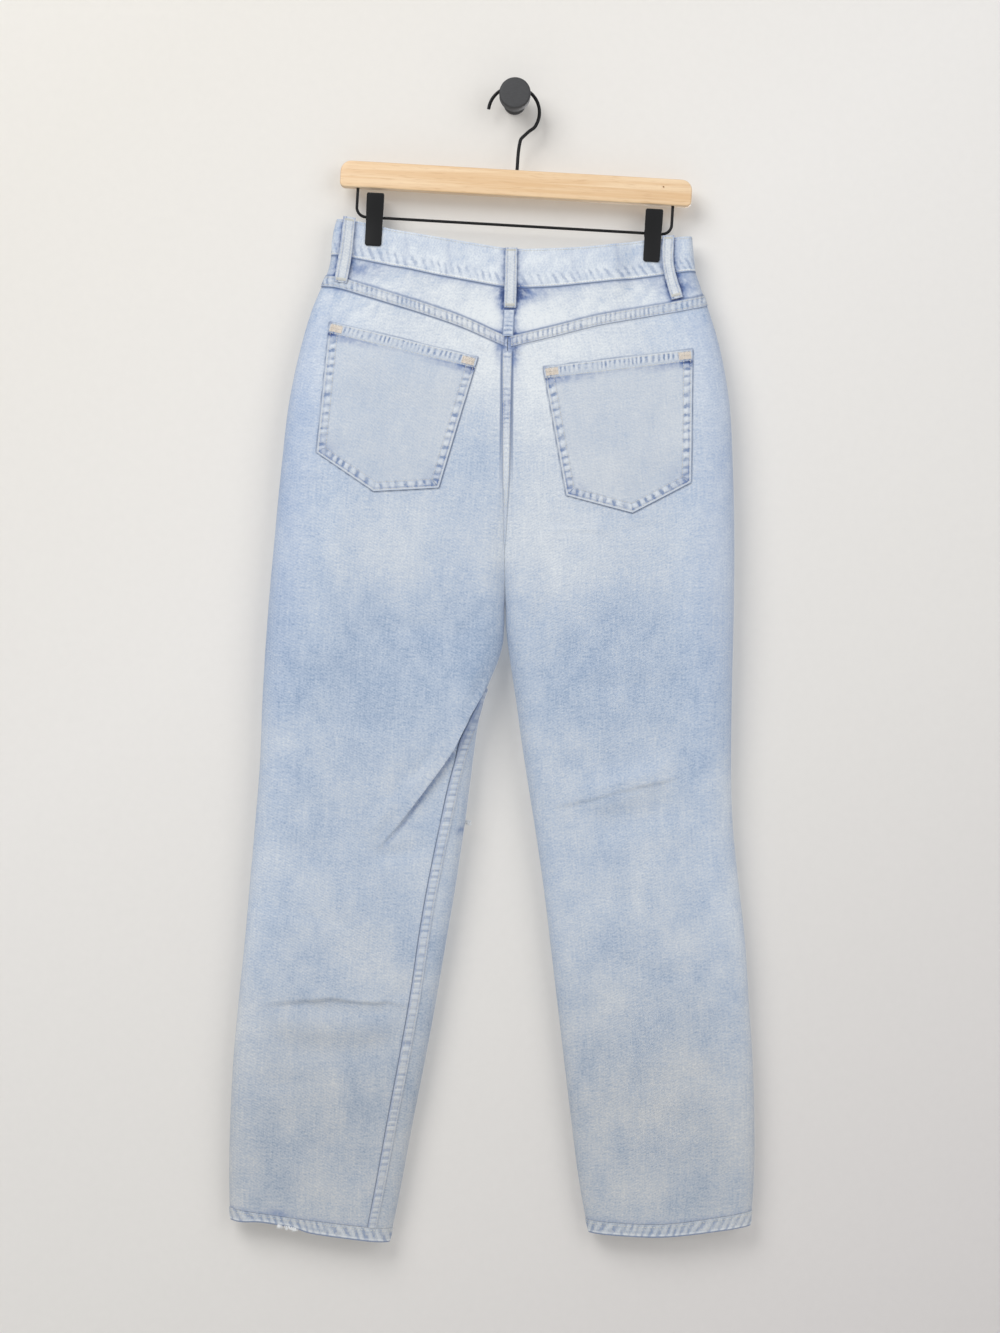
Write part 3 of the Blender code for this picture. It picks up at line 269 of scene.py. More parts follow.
INNER_FOLDS = [
    # drop, left leg, right leg
    (521, -10.6, -9.8),
    (545, -11, -9),
    (560, -12.4, -7.4),
    (577, -17, -5),
    (598, -25.5, -1.9),
    (618, -32.5, 1.2),
    (649, -38.8, 5.3),
    (680, -43, 9.8),
    (742, -51, 19.6),
    (803, -60, 28.6),
    (865, -70.5, 36.2),
    (927, -81, 43.4),
    (988, -92.3, 50.6),
    (1050, -104.5, 58),
    (1112, -116, 66),
    (1185, -130.5, 79.5),
]
VALLEY = [(118, 60), (350, 36), (400, 25), (440, 13), (475, 5.5), (500, 1.6), (521, 0)]
INNER_ROUND = 24
SEAMS = [
    # drop, left side wrap, right side wrap, left inseam turn, right inseam turn
    (118, 6, 6, 0, 0),
    (197, 8, 8, 0, 0),
    (310, 20, 15, 0, 0),
    (521, 28, 14, 0, 0),
    (560, 30, 14, 0.5, -2),
    (598, 32, 13, 3, -4),
    (618, 33, 13, 8, -6),
    (640, 34, 12, 17, -8),
    (665, 36, 12, 25, -9),
    (700, 38, 11, 30, -10),
    (742, 40, 10, 33, -12),
    (803, 40, 10, 36, -13),
    (927, 39, 9, 34, -14),
    (1076, 37, 8, 32, -14),
    (1185, 36, 8, 31, -14),
]
print("section known from drop", SECTIONS[0][0], "to", SECTIONS[-1][0])

# %% Tables of the lines across the seat and the hems
BACK_LINES = [
    # across, band top left and right, band foot left and right, yoke foot left and right
    (0.00, 123.5, 142, 161.5, 178.5, 181.5, 199),
    (0.15, 126.5, 143.5, 164, 180.4, 185.3, 207.3),
    (0.30, 132, 146, 169.5, 184.2, 193.5, 213.2),
    (0.45, 138, 150, 175.5, 188, 202.5, 218.7),
    (0.60, 143, 153.2, 182, 191.4, 212, 224.6),
    (0.80, 149.5, 155.2, 189.5, 195.5, 227, 236),
    (1.00, 156, 156, 197, 197, 247, 247),
]
FRONT_LINES = [
    # across, band top left and right, band foot left and right
    (0.00, 123.5, 142, 161.5, 178.5),
    (0.15, 127, 144.5, 165, 181.5),
    (0.30, 136, 151, 174, 188.5),
    (0.45, 146, 157.5, 184, 195),
    (0.60, 155, 163, 193, 201),
    (0.80, 165, 168.5, 203, 206.5),
    (1.00, 171, 171, 209, 209),
]
HEM_LINES = {
    # side: (x, top of the hem, its foot) from one fold to the other
    -1: [(-294, 1139, 1151.5), (-216, 1150, 1163.5), (-126, 1160.5, 1175)],
    1: [(72, 1151.5, 1165), (150, 1154.5, 1168), (244, 1142.5, 1158)],
}
WORN_HEM_X, WORN_HEM_WIDTH, WORN_HEM_DEPTH = -246, 30, 4
POCKET_MOUTH_ACROSS, POCKET_MOUTH_DEPTH = 0.52, 74
CLOTH, BAND_CLOTH, BAND_PROUD, SEAM_GAP = 1.2, 2.2, 0.6, 0.3
HEM_CLOTH, HEM_PROUD, PATCH_CLOTH, LAP_CLOTH, LAP_WIDTH = 2, 0.5, 1.1, 0.7, 11
print("cloth wall", CLOTH, "mm")

# %% [markdown]
# ## Folds
# Cloth that hangs from two clips keeps the folds of how it was worn and packed. Each fold here is a
# soft ridge or trough along a bowed line. The tuck on the left thigh is different: cloth from the
# upper left lies over the cloth below it, so it has a short steep step on one side only.

# %% Folds
THIGH_TUCK = [
    # x, drop, height
    (-12, 560, 0),
    (-19.5, 585, 3),
    (-32, 608, 6),
    (-43.5, 628, 8),
    (-53.5, 648, 9),
    (-64.5, 669, 9),
    (-80.5, 692, 7.6),
    (-99, 717, 5.6),
    (-119.5, 746, 3),
    (-142, 773, 0),
]
TUCK_HALF, TUCK_FADE, TUCK_LEAN = 2.6, 75, 4
FOLDS = [
    # face, from x, from drop, to x, to drop, bow, height, half width
    ("back", -275, 936, -92, 934, 14, 3.4, 20),
    ("back", -262, 962, -98, 964, 12, -2.8, 16),
    ("back", -206, 560, -222, 850, 4, -3.2, 22),
    ("back", -150, 600, -170, 900, -8, 2.2, 30),
    ("back", 60, 724, 172, 686, 5, 3.2, 18),
    ("back", 66, 752, 176, 716, 5, -2.6, 16),
    ("back", 40, 640, 110, 1120, 14, -2.2, 26),
    ("back", 150, 830, 196, 1110, -8, 2, 30),
    ("back", -196, 1050, -150, 1120, 3, -1.6, 22),
    ("back", -190, 250, -30, 300, 6, 1.6, 26),
    ("back", 20, 290, 190, 262, -5, 1.6, 26),
    ("front", -262, 700, -70, 690, 8, 3, 20),
    ("front", 30, 730, 214, 704, 8, 3, 20),
    ("front", -252, 905, -96, 925, 9, -2.6, 18),
    ("front", 58, 960, 226, 936, 9, 2.4, 20),
    ("front", -196, 470, -30, 430, 9, 2.4, 17),
    ("front", 24, 430, 190, 474, 9, 2.4, 17),
    ("front", -150, 540, -196, 1090, 6, -2.4, 28),
    ("front", 100, 540, 160, 1090, -6, -2.4, 28),
]
CREASES = [
    # smaller folds that the solids leave out
    ("back", -112, 706, -84, 664, 2, -1.6, 6),
    ("back", -128, 722, -104, 672, 2, -1.2, 7),
    ("back", -150, 760, -118, 716, -2, 1.2, 7),
    ("back", -156, 774, -86, 764, 6, -1.8, 9),
    ("back", -236, 914, -84, 922, 9, 1.2, 7),
    ("back", -150, 950, -88, 900, -4, -1, 8),
    ("back", 58, 712, 168, 680, 3, 0.9, 6),
    ("back", 70, 736, 130, 728, 3, -0.9, 8),
    ("back", 22, 433, 96, 442, 2, -0.8, 5),
    ("back", 100, 446, 150, 438, 2, -0.6, 5),
    ("back", -70, 560, -26, 520, 2, -0.9, 8),
    ("back", 4, 560, 44, 500, 3, -0.8, 8),
    ("back", -180, 548, -60, 536, 5, -0.7, 9),
    ("back", 60, 604, 190, 590, 5, -0.7, 9),
    ("back", -270, 1010, -180, 1000, 5, -0.8, 9),
    ("back", 80, 880, 200, 900, 6, -0.8, 10),
    ("back", 100, 1010, 226, 990, 5, -0.7, 10),
    ("back", -262, 820, -150, 848, 5, -0.8, 9),
    ("front", -232, 620, -60, 600, 6, -1, 9),
    ("front", 40, 640, 200, 650, 6, -1, 9),
    ("front", -170, 400, -40, 372, 5, -1, 8),
    ("front", 30, 372, 160, 402, 5, -1, 8),
]
STEPPED_FOLDS = [
    # from x, from drop, to x, to drop, bow, height, reach above the line
    (-272, 931, -100, 930, -9, 5, 26),
    (30, 726, 178, 690, 2, 2.9, 22),
    (30, 446, 104, 450, -4, 1.5, 12),
    (-100, 915, -72, 907, 0, 1.4, 8),
]
print(len(FOLDS), "folds,", len(CREASES), "creases and", len(STEPPED_FOLDS), "stepped folds")

# %% [markdown]
# ## From tables to a surface
# Everything here works on whole grids of points at once with numpy, because a panel has tens of
# thousands of them. `skin` gives a point of the outer face from how far round the section it lies.
# `lifted` moves that point along the cloth's own normal, which is how every layer gets its place.

# %% Smooth tables


def smooth_column(table, column):
    """A smooth function through one column of a table, along its first column."""
    knots = np.array([row[0] for row in table], float)
    values = np.array([row[column] for row in table], float)
    slopes = np.gradient(values, knots)

    def value(at):
        at = np.clip(at, knots[0], knots[-1])
        i = np.clip(np.searchsorted(knots, at, side="right") - 1, 0, len(knots) - 2)
        span = knots[i + 1] - knots[i]
        t = (at - knots[i]) / span
        start = (1 + 2 * t) * (1 - t) ** 2 * values[i] + t * (1 - t) ** 2 * span * slopes[i]
        end = t * t * (3 - 2 * t) * values[i + 1] + t * t * (t - 1) * span * slopes[i + 1]
        return start + end

    return value


SIDE_FOLD = {-1: smooth_column(SECTIONS, 1), 1: smooth_column(SECTIONS, 2)}
HALF_DEPTH = smooth_column(SECTIONS, 3)
SIDE_ROUND = smooth_column(SECTIONS, 4)
MIDDLE = smooth_column(SECTIONS, 5)
CENTRE_X = smooth_column(CENTRE_SEAM, 1)
INNER_X = {-1: smooth_column(INNER_FOLDS, 1), 1: smooth_column(INNER_FOLDS, 2)}
REACH = smooth_column(VALLEY, 1)
SIDE_WRAP = {-1: smooth_column(SEAMS, 1), 1: smooth_column(SEAMS, 2)}
INSEAM_TURN = {-1: smooth_column(SEAMS, 3), 1: smooth_column(SEAMS, 4)}


def step(t):
    """Smooth step from 0 to 1 as t goes from 0 to 1."""
    t = np.clip(t, 0, 1)
    return t * t * (3 - 2 * t)


# %% Distance to a line drawn on the cloth


def along_line(x, drop, line):
    """(distance along, distance off) of each point from a polyline of (x, drop). Off has a sign."""
    line = np.asarray(line, float)
    starts, steps = line[:-1], np.diff(line, axis=0)
    long = np.linalg.norm(steps, axis=1)
    before = np.concatenate([[0], np.cumsum(long)])
    best = np.full(np.shape(x), 1e9)
    along, off = np.zeros(np.shape(x)), np.zeros(np.shape(x))
    for i, (start, step_by) in enumerate(zip(starts, steps)):
        ux, ud = step_by / long[i]
        t = np.clip((x - start[0]) * ux + (drop - start[1]) * ud, 0, long[i])
        dx, dd = x - start[0] - t * ux, drop - start[1] - t * ud
        far = np.hypot(dx, dd)
        nearer = far < best
        best = np.where(nearer, far, best)
        along = np.where(nearer, before[i] + t, along)
        off = np.where(nearer, np.where(dx * ud - dd * ux > 0, far, -far), off)
    return along, off


tuck_rows = np.array(THIGH_TUCK)
tuck_steps = np.linspace(0, len(THIGH_TUCK) - 1, 28)
tuck_numbered = [(i, *row) for i, row in enumerate(THIGH_TUCK)]
TUCK_LINE = np.stack([smooth_column(tuck_numbered, c)(tuck_steps) for c in (1, 2)], -1)
TUCK_HEIGHT = smooth_column(tuck_numbered, 3)(tuck_steps)
TUCK_ALONG = np.concatenate([[0], np.cumsum(np.linalg.norm(np.diff(TUCK_LINE, axis=0), axis=1))])


def thigh_tuck(x, drop):
    """Height of the cloth that folds over the inseam at the back of the left thigh."""
    along, off = along_line(x, drop, TUCK_LINE)
    proud = step((TUCK_HALF - off) / (2 * TUCK_HALF)) * np.exp(-((np.maximum(-off, 0) / TUCK_FADE) ** 2))
    return np.interp(along, TUCK_ALONG, TUCK_HEIGHT) * proud


def tuck_lean(x, drop):
    """How far the tuck's edge leans over the cloth below it, which runs in under the edge."""
    along, off = along_line(x, drop, TUCK_LINE)
    share = off / TUCK_HALF
    lean = np.minimum(np.interp(along, TUCK_ALONG, TUCK_HEIGHT) / 6, 1)
    return -TUCK_LEAN * lean * share * np.exp(0.5 * (1 - share**2))


def stepped_fold(row, x, drop):
    """Cloth that swells towards a line and drops off sharply below it."""
    x0, drop0, x1, drop1, bow, height, reach = row
    long = math.hypot(x1 - x0, drop1 - drop0)
    ux, ud = (x1 - x0) / long, (drop1 - drop0) / long
    along = np.clip(((x - x0) * ux + (drop - drop0) * ud) / long, 0, 1)
    off = (drop - drop0) * ux - (x - x0) * ud - bow * 4 * along * (1 - along)
    off = off + 1.7 * rumple(x, drop, 19, 21) + 0.8 * rumple(x, drop, 7, 22)
    uneven = 0.72 + 0.45 * rumple(x, drop, 33, 23)
    shape = np.where(off < 0, np.exp(-((off / reach) ** 2)), step(1 - off / (2.6 + 2.4 * uneven)))
    trough = 0.3 * np.exp(-(((off - 11) / 10) ** 2))
    return height * uneven * step(along / 0.3) * step((1 - along) / 0.3) * (shape - trough)


def bowed_fold(row, x, drop):
    """Height that one fold adds at each point of its face."""
    _, x0, drop0, x1, drop1, bow, height, half_width = row
    long = math.hypot(x1 - x0, drop1 - drop0)
    ux, ud = (x1 - x0) / long, (drop1 - drop0) / long
    along = ((x - x0) * ux + (drop - drop0) * ud) / long
    off = (x - x0) * -ud + (drop - drop0) * ux
    inside = np.clip(along, 0, 1)
    ends = step(along / 0.3) * step((1 - along) / 0.3)
    return height * ends * np.exp(-(((off - bow * 4 * inside * (1 - inside)) / half_width) ** 2))


def rumple(x, drop, size, seed, stretch=1):
    """Smooth random height from -1 to 1, with hollows about this many millimetres across."""
    lattice = np.random.default_rng(seed).uniform(-1, 1, (64, 64))
    u, v = x / size + 31.7, drop / (size * stretch) + 7.3
    i, j = np.floor(u).astype(int), np.floor(v).astype(int)
    s, t = step(u - i), step(v - j)
    corner = lambda a, b: lattice[(i + a) % 64, (j + b) % 64]
    return (corner(0, 0) * (1 - s) + corner(1, 0) * s) * (1 - t) + (corner(0, 1) * (1 - s) + corner(1, 1) * s) * t


def fold_height(back, x, drop):
    """Sum of the folds, creases and small rumples of a face."""
    total = thigh_tuck(x, drop)
    for row in STEPPED_FOLDS:
        total = total + stepped_fold(row, x, drop)
    total = np.where(back, total, 0)
    for row in FOLDS + CREASES:
        on_face = back if row[0] == "back" else ~back
        total = total + np.where(on_face, bowed_fold(row, x, drop), 0)
    flip = np.where(back, 0, 400)
    calm = step((drop - 210) / 60)
    soft = 0.9 * rumple(x + flip, drop, 62, 3, 1.5) + 0.35 * rumple(x + flip, drop, 23, 4)
    return total + calm * soft + 0.10 * rumple(x + flip, drop, 9, 5)


print("tuck line", round(float(TUCK_ALONG[-1])), "mm long")

# %% Where the clips pinch the waistband
HOOK_CENTRE = (-0.9, -22, -14.1)
HANGER_TILT = math.radians(3.3)
BAR_MIDDLE_X, BAR_MIDDLE_Z = 6.5, -73.5
CLIP_FROM_MIDDLE, CLIP_TIP_Z, CLIP_TOP_Z = 143, -146, -92.5
PINCHED, PINCH_FLAT, PINCH_FADE, PINCH_DROP_FADE = 2.2, 16, 26, 60


def hanger_to_world(x, z):
    """Where a point of the tilted hanger lies, as (x, drop)."""
    cos, sin = math.cos(HANGER_TILT), math.sin(HANGER_TILT)
    return HOOK_CENTRE[0] + x * cos + z * sin, -(HOOK_CENTRE[2] - x * sin + z * cos)


def pinch(x, drop):
    """How much of the cloth's depth the nearest clip takes up, from 0 to 1."""
    weight = np.zeros_like(x)
    for side in (-1, 1):
        foot_x, foot_drop = hanger_to_world(BAR_MIDDLE_X + side * CLIP_FROM_MIDDLE, CLIP_TIP_Z)
        beside = step(1 - (np.abs(x - foot_x) - PINCH_FLAT) / PINCH_FADE)
        below = step(1 - (drop - foot_drop - 4) / PINCH_DROP_FADE)
        weight = np.maximum(weight, beside * below)
    return weight


# %% The section of one side


def inner_limit(side, drop):
    """x of the centre seam above the crotch, and of the leg's inner fold below it."""
    return np.where(drop < CROTCH_DROP, CENTRE_X(drop) + 0.1 * side, INNER_X[side](drop))


def quarter_ellipse(a, b):
    return math.pi / 4 * (3 * (a + b) - np.sqrt((3 * a + b) * (a + 3 * b)))


class Section:
    """The lengths of the half section of one side at each drop."""

    def __init__(self, side, drop):
        self.depth = HALF_DEPTH(drop)
        self.side_round = SIDE_ROUND(drop)
        self.inner_round = INNER_ROUND + 8 * step((CROTCH_DROP - drop + 80) / 160)
        self.fold_x = SIDE_FOLD[side](drop)
        self.reach = np.where(drop < CROTCH_DROP, REACH(drop), 0)
        self.width = side * (self.fold_x - inner_limit(side, drop)) + self.reach
        self.side_arc = quarter_ellipse(self.side_round, self.depth)
        self.inner_arc = quarter_ellipse(self.inner_round, self.depth)
        self.flat = self.width - self.side_round - self.inner_round
        self.length = self.side_arc + self.flat + self.inner_arc

    def run_at(self, width):
        """Distance round the section from the side fold to the point this far in along x."""
        side_share = np.clip(1 - width / self.side_round, -1, 1)
        inner_share = np.clip(1 - (self.width - width) / self.inner_round, -1, 1)
        on_side = self.side_arc * np.arccos(side_share) / (math.pi / 2)
        on_flat = self.side_arc + width - self.side_round
        on_inner = self.side_arc + self.flat + self.inner_arc * np.arcsin(inner_share) / (math.pi / 2)
        inside = np.where(width > self.width - self.inner_round, on_inner, on_flat)
        return np.where(width < self.side_round, on_side, inside)


# %% The skin of the cloth


def skin(side, drop, run):
    """Point of the cloth's outer face, this far round the section from the side fold."""
    section = Section(side, drop)
    back = (run >= 0) & (run <= section.length)
    folded = np.where(run < 0, -run, np.where(run > section.length, 2 * section.length - run, run))
    side_turn = np.clip(folded / section.side_arc, 0, 1) * math.pi / 2
    past_flat = folded - section.side_arc - section.flat
    inner_turn = np.clip(past_flat / section.inner_arc, 0, 1) * math.pi / 2
    on_side = folded < section.side_arc
    on_inner = past_flat > 0
    width = folded - section.side_arc + section.side_round
    width = np.where(on_side, section.side_round * (1 - np.cos(side_turn)), width)
    width = np.where(on_inner, section.width - section.inner_round * (1 - np.sin(inner_turn)), width)
    fullness = np.where(on_side, np.sin(side_turn), np.where(on_inner, np.cos(inner_turn), 1))
    x = section.fold_x - side * width
    crown = 0.15 * step((drop - CROTCH_DROP) / 120)
    crown = 1 + crown * (1 - (2 * width / section.width - 1) ** 2)
    height = section.depth * fullness * crown + fold_height(back, x, drop) * np.minimum(1, 1.6 * fullness)
    weight = pinch(x, drop)
    height = height * (1 - weight) + PINCHED * weight
    # The tuck's line runs down to the left, so across it is 0.8 along x and 0.6 along the drop.
    lean = np.where(back, tuck_lean(x, drop) * np.minimum(1, 1.6 * fullness), 0)
    return np.stack([x + 0.8 * lean, MIDDLE(drop) + np.where(back, -height, height), -drop - 0.6 * lean], -1)


def lifted(side, drop, run, lift):
    """Point off the cloth's outer face: lift is outwards, and negative inside."""
    drop, run, lift = np.broadcast_arrays(np.asarray(drop, float), run, lift)
    across = skin(side, drop, run + 0.6) - skin(side, drop, run - 0.6)
    down = skin(side, drop + 1.2, run) - skin(side, drop - 1.2, run)
    normal = side * np.cross(across, down)
    normal /= np.linalg.norm(normal, axis=-1, keepdims=True)
    return skin(side, drop, run) + normal * lift[..., None]


def seam_to_seam(side, face, drop):
    """Where a panel starts, at the side seam, and ends, at the centre seam or inseam."""
    section = Section(side, drop)
    centre = section.run_at(section.width - section.reach)
    turn = np.where(drop < CROTCH_DROP, 0, INSEAM_TURN[side](drop))
    wrap = SIDE_WRAP[side](drop)
    if face == "back":
        return -wrap, centre - turn
    return 2 * section.length - wrap, 2 * section.length - centre - turn


def place(side, face, across, drop, lift=0):
    """Point of a panel: across is 0 at the side seam and 1 at the centre seam or inseam."""
    across, drop = np.broadcast_arrays(np.asarray(across, float), np.asarray(drop, float))
    start, end = seam_to_seam(side, face, drop)
    return lifted(side, drop, start + across * (end - start), lift)


def on_face(face, x, drop, lift=0):
    """Point over a place on the back or front, given by x and drop."""
    x, drop, lift = np.broadcast_arrays(np.asarray(x, float), np.asarray(drop, float), lift)
    sides = np.where(drop < CROTCH_DROP, np.where(x < CENTRE_X(drop), -1, 1), np.where(x < -10.2, -1, 1))
    found = np.zeros(x.shape + (3,))
    for side in (-1, 1):
        section = Section(side, drop)
        run = section.run_at(side * (section.fold_x - x))
        if face == "front":
            run = 2 * section.length - run
        found = np.where((sides == side)[..., None], lifted(side, drop, run, lift), found)
    return found


print("waist point", np.round(place(-1, "back", 0.5, 200), 1))

# %% Lines across the seat


def line_at(table, column, across):
    """A line across the seat. Past the centre seam it runs on as the other side's line."""
    mirrored = np.where(across > 1, 2 - across, across)
    return smooth_column(table, column)(mirrored)


def band_top(side, face, across):
    return line_at(BACK_LINES if face == "back" else FRONT_LINES, 1 if side < 0 else 2, across)


def band_foot(side, face, across):
    return line_at(BACK_LINES if face == "back" else FRONT_LINES, 3 if side < 0 else 4, across)


def yoke_foot(side, across):
    return line_at(BACK_LINES, 5 if side < 0 else 6, across)


def pocket_mouth(side, across):
    """Drop of the front panel's top edge, which scoops down to the side seam as a pocket mouth."""
    share = np.clip(across / POCKET_MOUTH_ACROSS, 0, 1)
    return band_foot(side, "front", across) + POCKET_MOUTH_DEPTH * (1 - share**1.9) ** 0.85


def hem_line(side, x, column):
    """Drop of the hem's top, column 1, or foot, column 2."""
    drop = smooth_column(HEM_LINES[side], column)(x)
    if side < 0 and column == 2:
        drop = drop - WORN_HEM_DEPTH * np.exp(-(((x - WORN_HEM_X) / WORN_HEM_WIDTH) ** 4))
    return drop


def hem_drop(side, face, across, column):
    nominal = np.full_like(across, 1155)
    return hem_line(side, place(side, face, across, nominal)[..., 0], column)


print("left hem foot at the side", round(float(hem_drop(-1, "back", np.array(0), 2)), 1))

# %% [markdown]
# ## Wash and seams as data on the cloth
# A stone wash bleaches a pair of jeans most where it is fullest and rubs most, on the seat and the front of
# the thighs, and leaves the dye at the sides and in the ditch beside each seam. So each point of the cloth
# carries how far it is washed, how blue it stays, how much kept dye and painted shade darken it, and its
# distance along and off the nearest seam. The dye, the painted shade and the puckers are then drawn from
# these in the material.

# %% How far each place is washed


def pool(x, drop, at_x, at_drop, half_wide, half_tall):
    """A soft patch, 1 in the middle and falling to 0."""
    return np.exp(-(((x - at_x) / half_wide) ** 2) - ((drop - at_drop) / half_tall) ** 2)


WASHED = {
    # (x, drop, half width, half height, how much)
    "back": [
        (-6, 258, 175, 80, 0.54),
        (90, 250, 70, 50, -0.10),
        (26, 410, 50, 140, 0.22),
        (-34, 350, 34, 80, -0.14),
        (-128, 455, 90, 60, 0.18),
        (92, 470, 90, 70, 0.14),
        (-135, 580, 100, 75, -0.19),
        (96, 575, 90, 85, -0.17),
        (-45, 560, 40, 60, -0.12),
        (-160, 870, 70, 110, 0.08),
        (130, 900, 60, 130, 0.07),
    ],
    "front": [
        (-128, 470, 70, 170, 0.40),
        (110, 470, 70, 170, 0.40),
        (-150, 740, 70, 90, 0.25),
        (130, 740, 70, 90, 0.25),
    ],
}


def wash_at(face, side, x, drop):
    """0 where the dye is kept, 1 where it is nearly gone; painted light on the round sides is added in as well."""
    total = 0.38 + np.zeros(np.shape(x))
    for at_x, at_drop, half_wide, half_tall, much in WASHED[face]:
        total = total + much * pool(x, drop, at_x, at_drop, half_wide, half_tall)
    # The side seams are rubbed paler, and this lightening also paints light onto the round sides as a painted
    # highlight: the right one at the hip, both down the leg.
    from_side = np.abs(SIDE_FOLD[side](drop) - x)
    total = total + 0.17 * np.exp(-((from_side / 20) ** 2)) * step((drop - 560) / 160)
    total = total + (0.10 + 0.06 * side) * np.exp(-((from_side / 34) ** 2)) * step((drop - 240) / 40) * step((620 - drop) / 120)
    clouds = 0.07 * rumple(x, drop, 42, 11) + 0.05 * rumple(x, drop, 17, 12, 1.4)
    mottle = 0.16 * rumple(x + 0.7 * drop, drop, 10, 13) + 0.08 * rumple(x, drop, 4.5, 14)
    return total + clouds * (1 + 0.6 * step((drop - 560) / 140)) + mottle * step((262 - drop) / 50)


def blue_at(side, x, drop):
    """How blue the cloth is: most by the side seams at the hip, and below 0, which is grey, low down."""
    from_side = np.abs(SIDE_FOLD[side](drop) - x)
    beside = np.exp(-((from_side / 42) ** 2)) * step((drop - 170) / 80)
    return beside * (1 - 0.75 * step((drop - 420) / 320)) - step((drop - 780) / 330) - 0.15


print("wash on the seat", round(float(wash_at("back", -1, np.array(-60), np.array(250))), 2))

# %% Puckers
PUCKER_PITCH = 7.2


def pucker(along, off, pitch=PUCKER_PITCH, lean=0.12):
    """The wave of a shrunk seam: uneven ridges across it, from -1 to 1."""
    phase = 2 * math.pi * along / pitch + 2.2 * np.sin(along * 0.055) + 1.3 * np.sin(along * 0.131 + 1.3)
    return np.sin(phase + off * lean) * (0.7 + 0.3 * np.sin(along * 0.21 + 0.6))
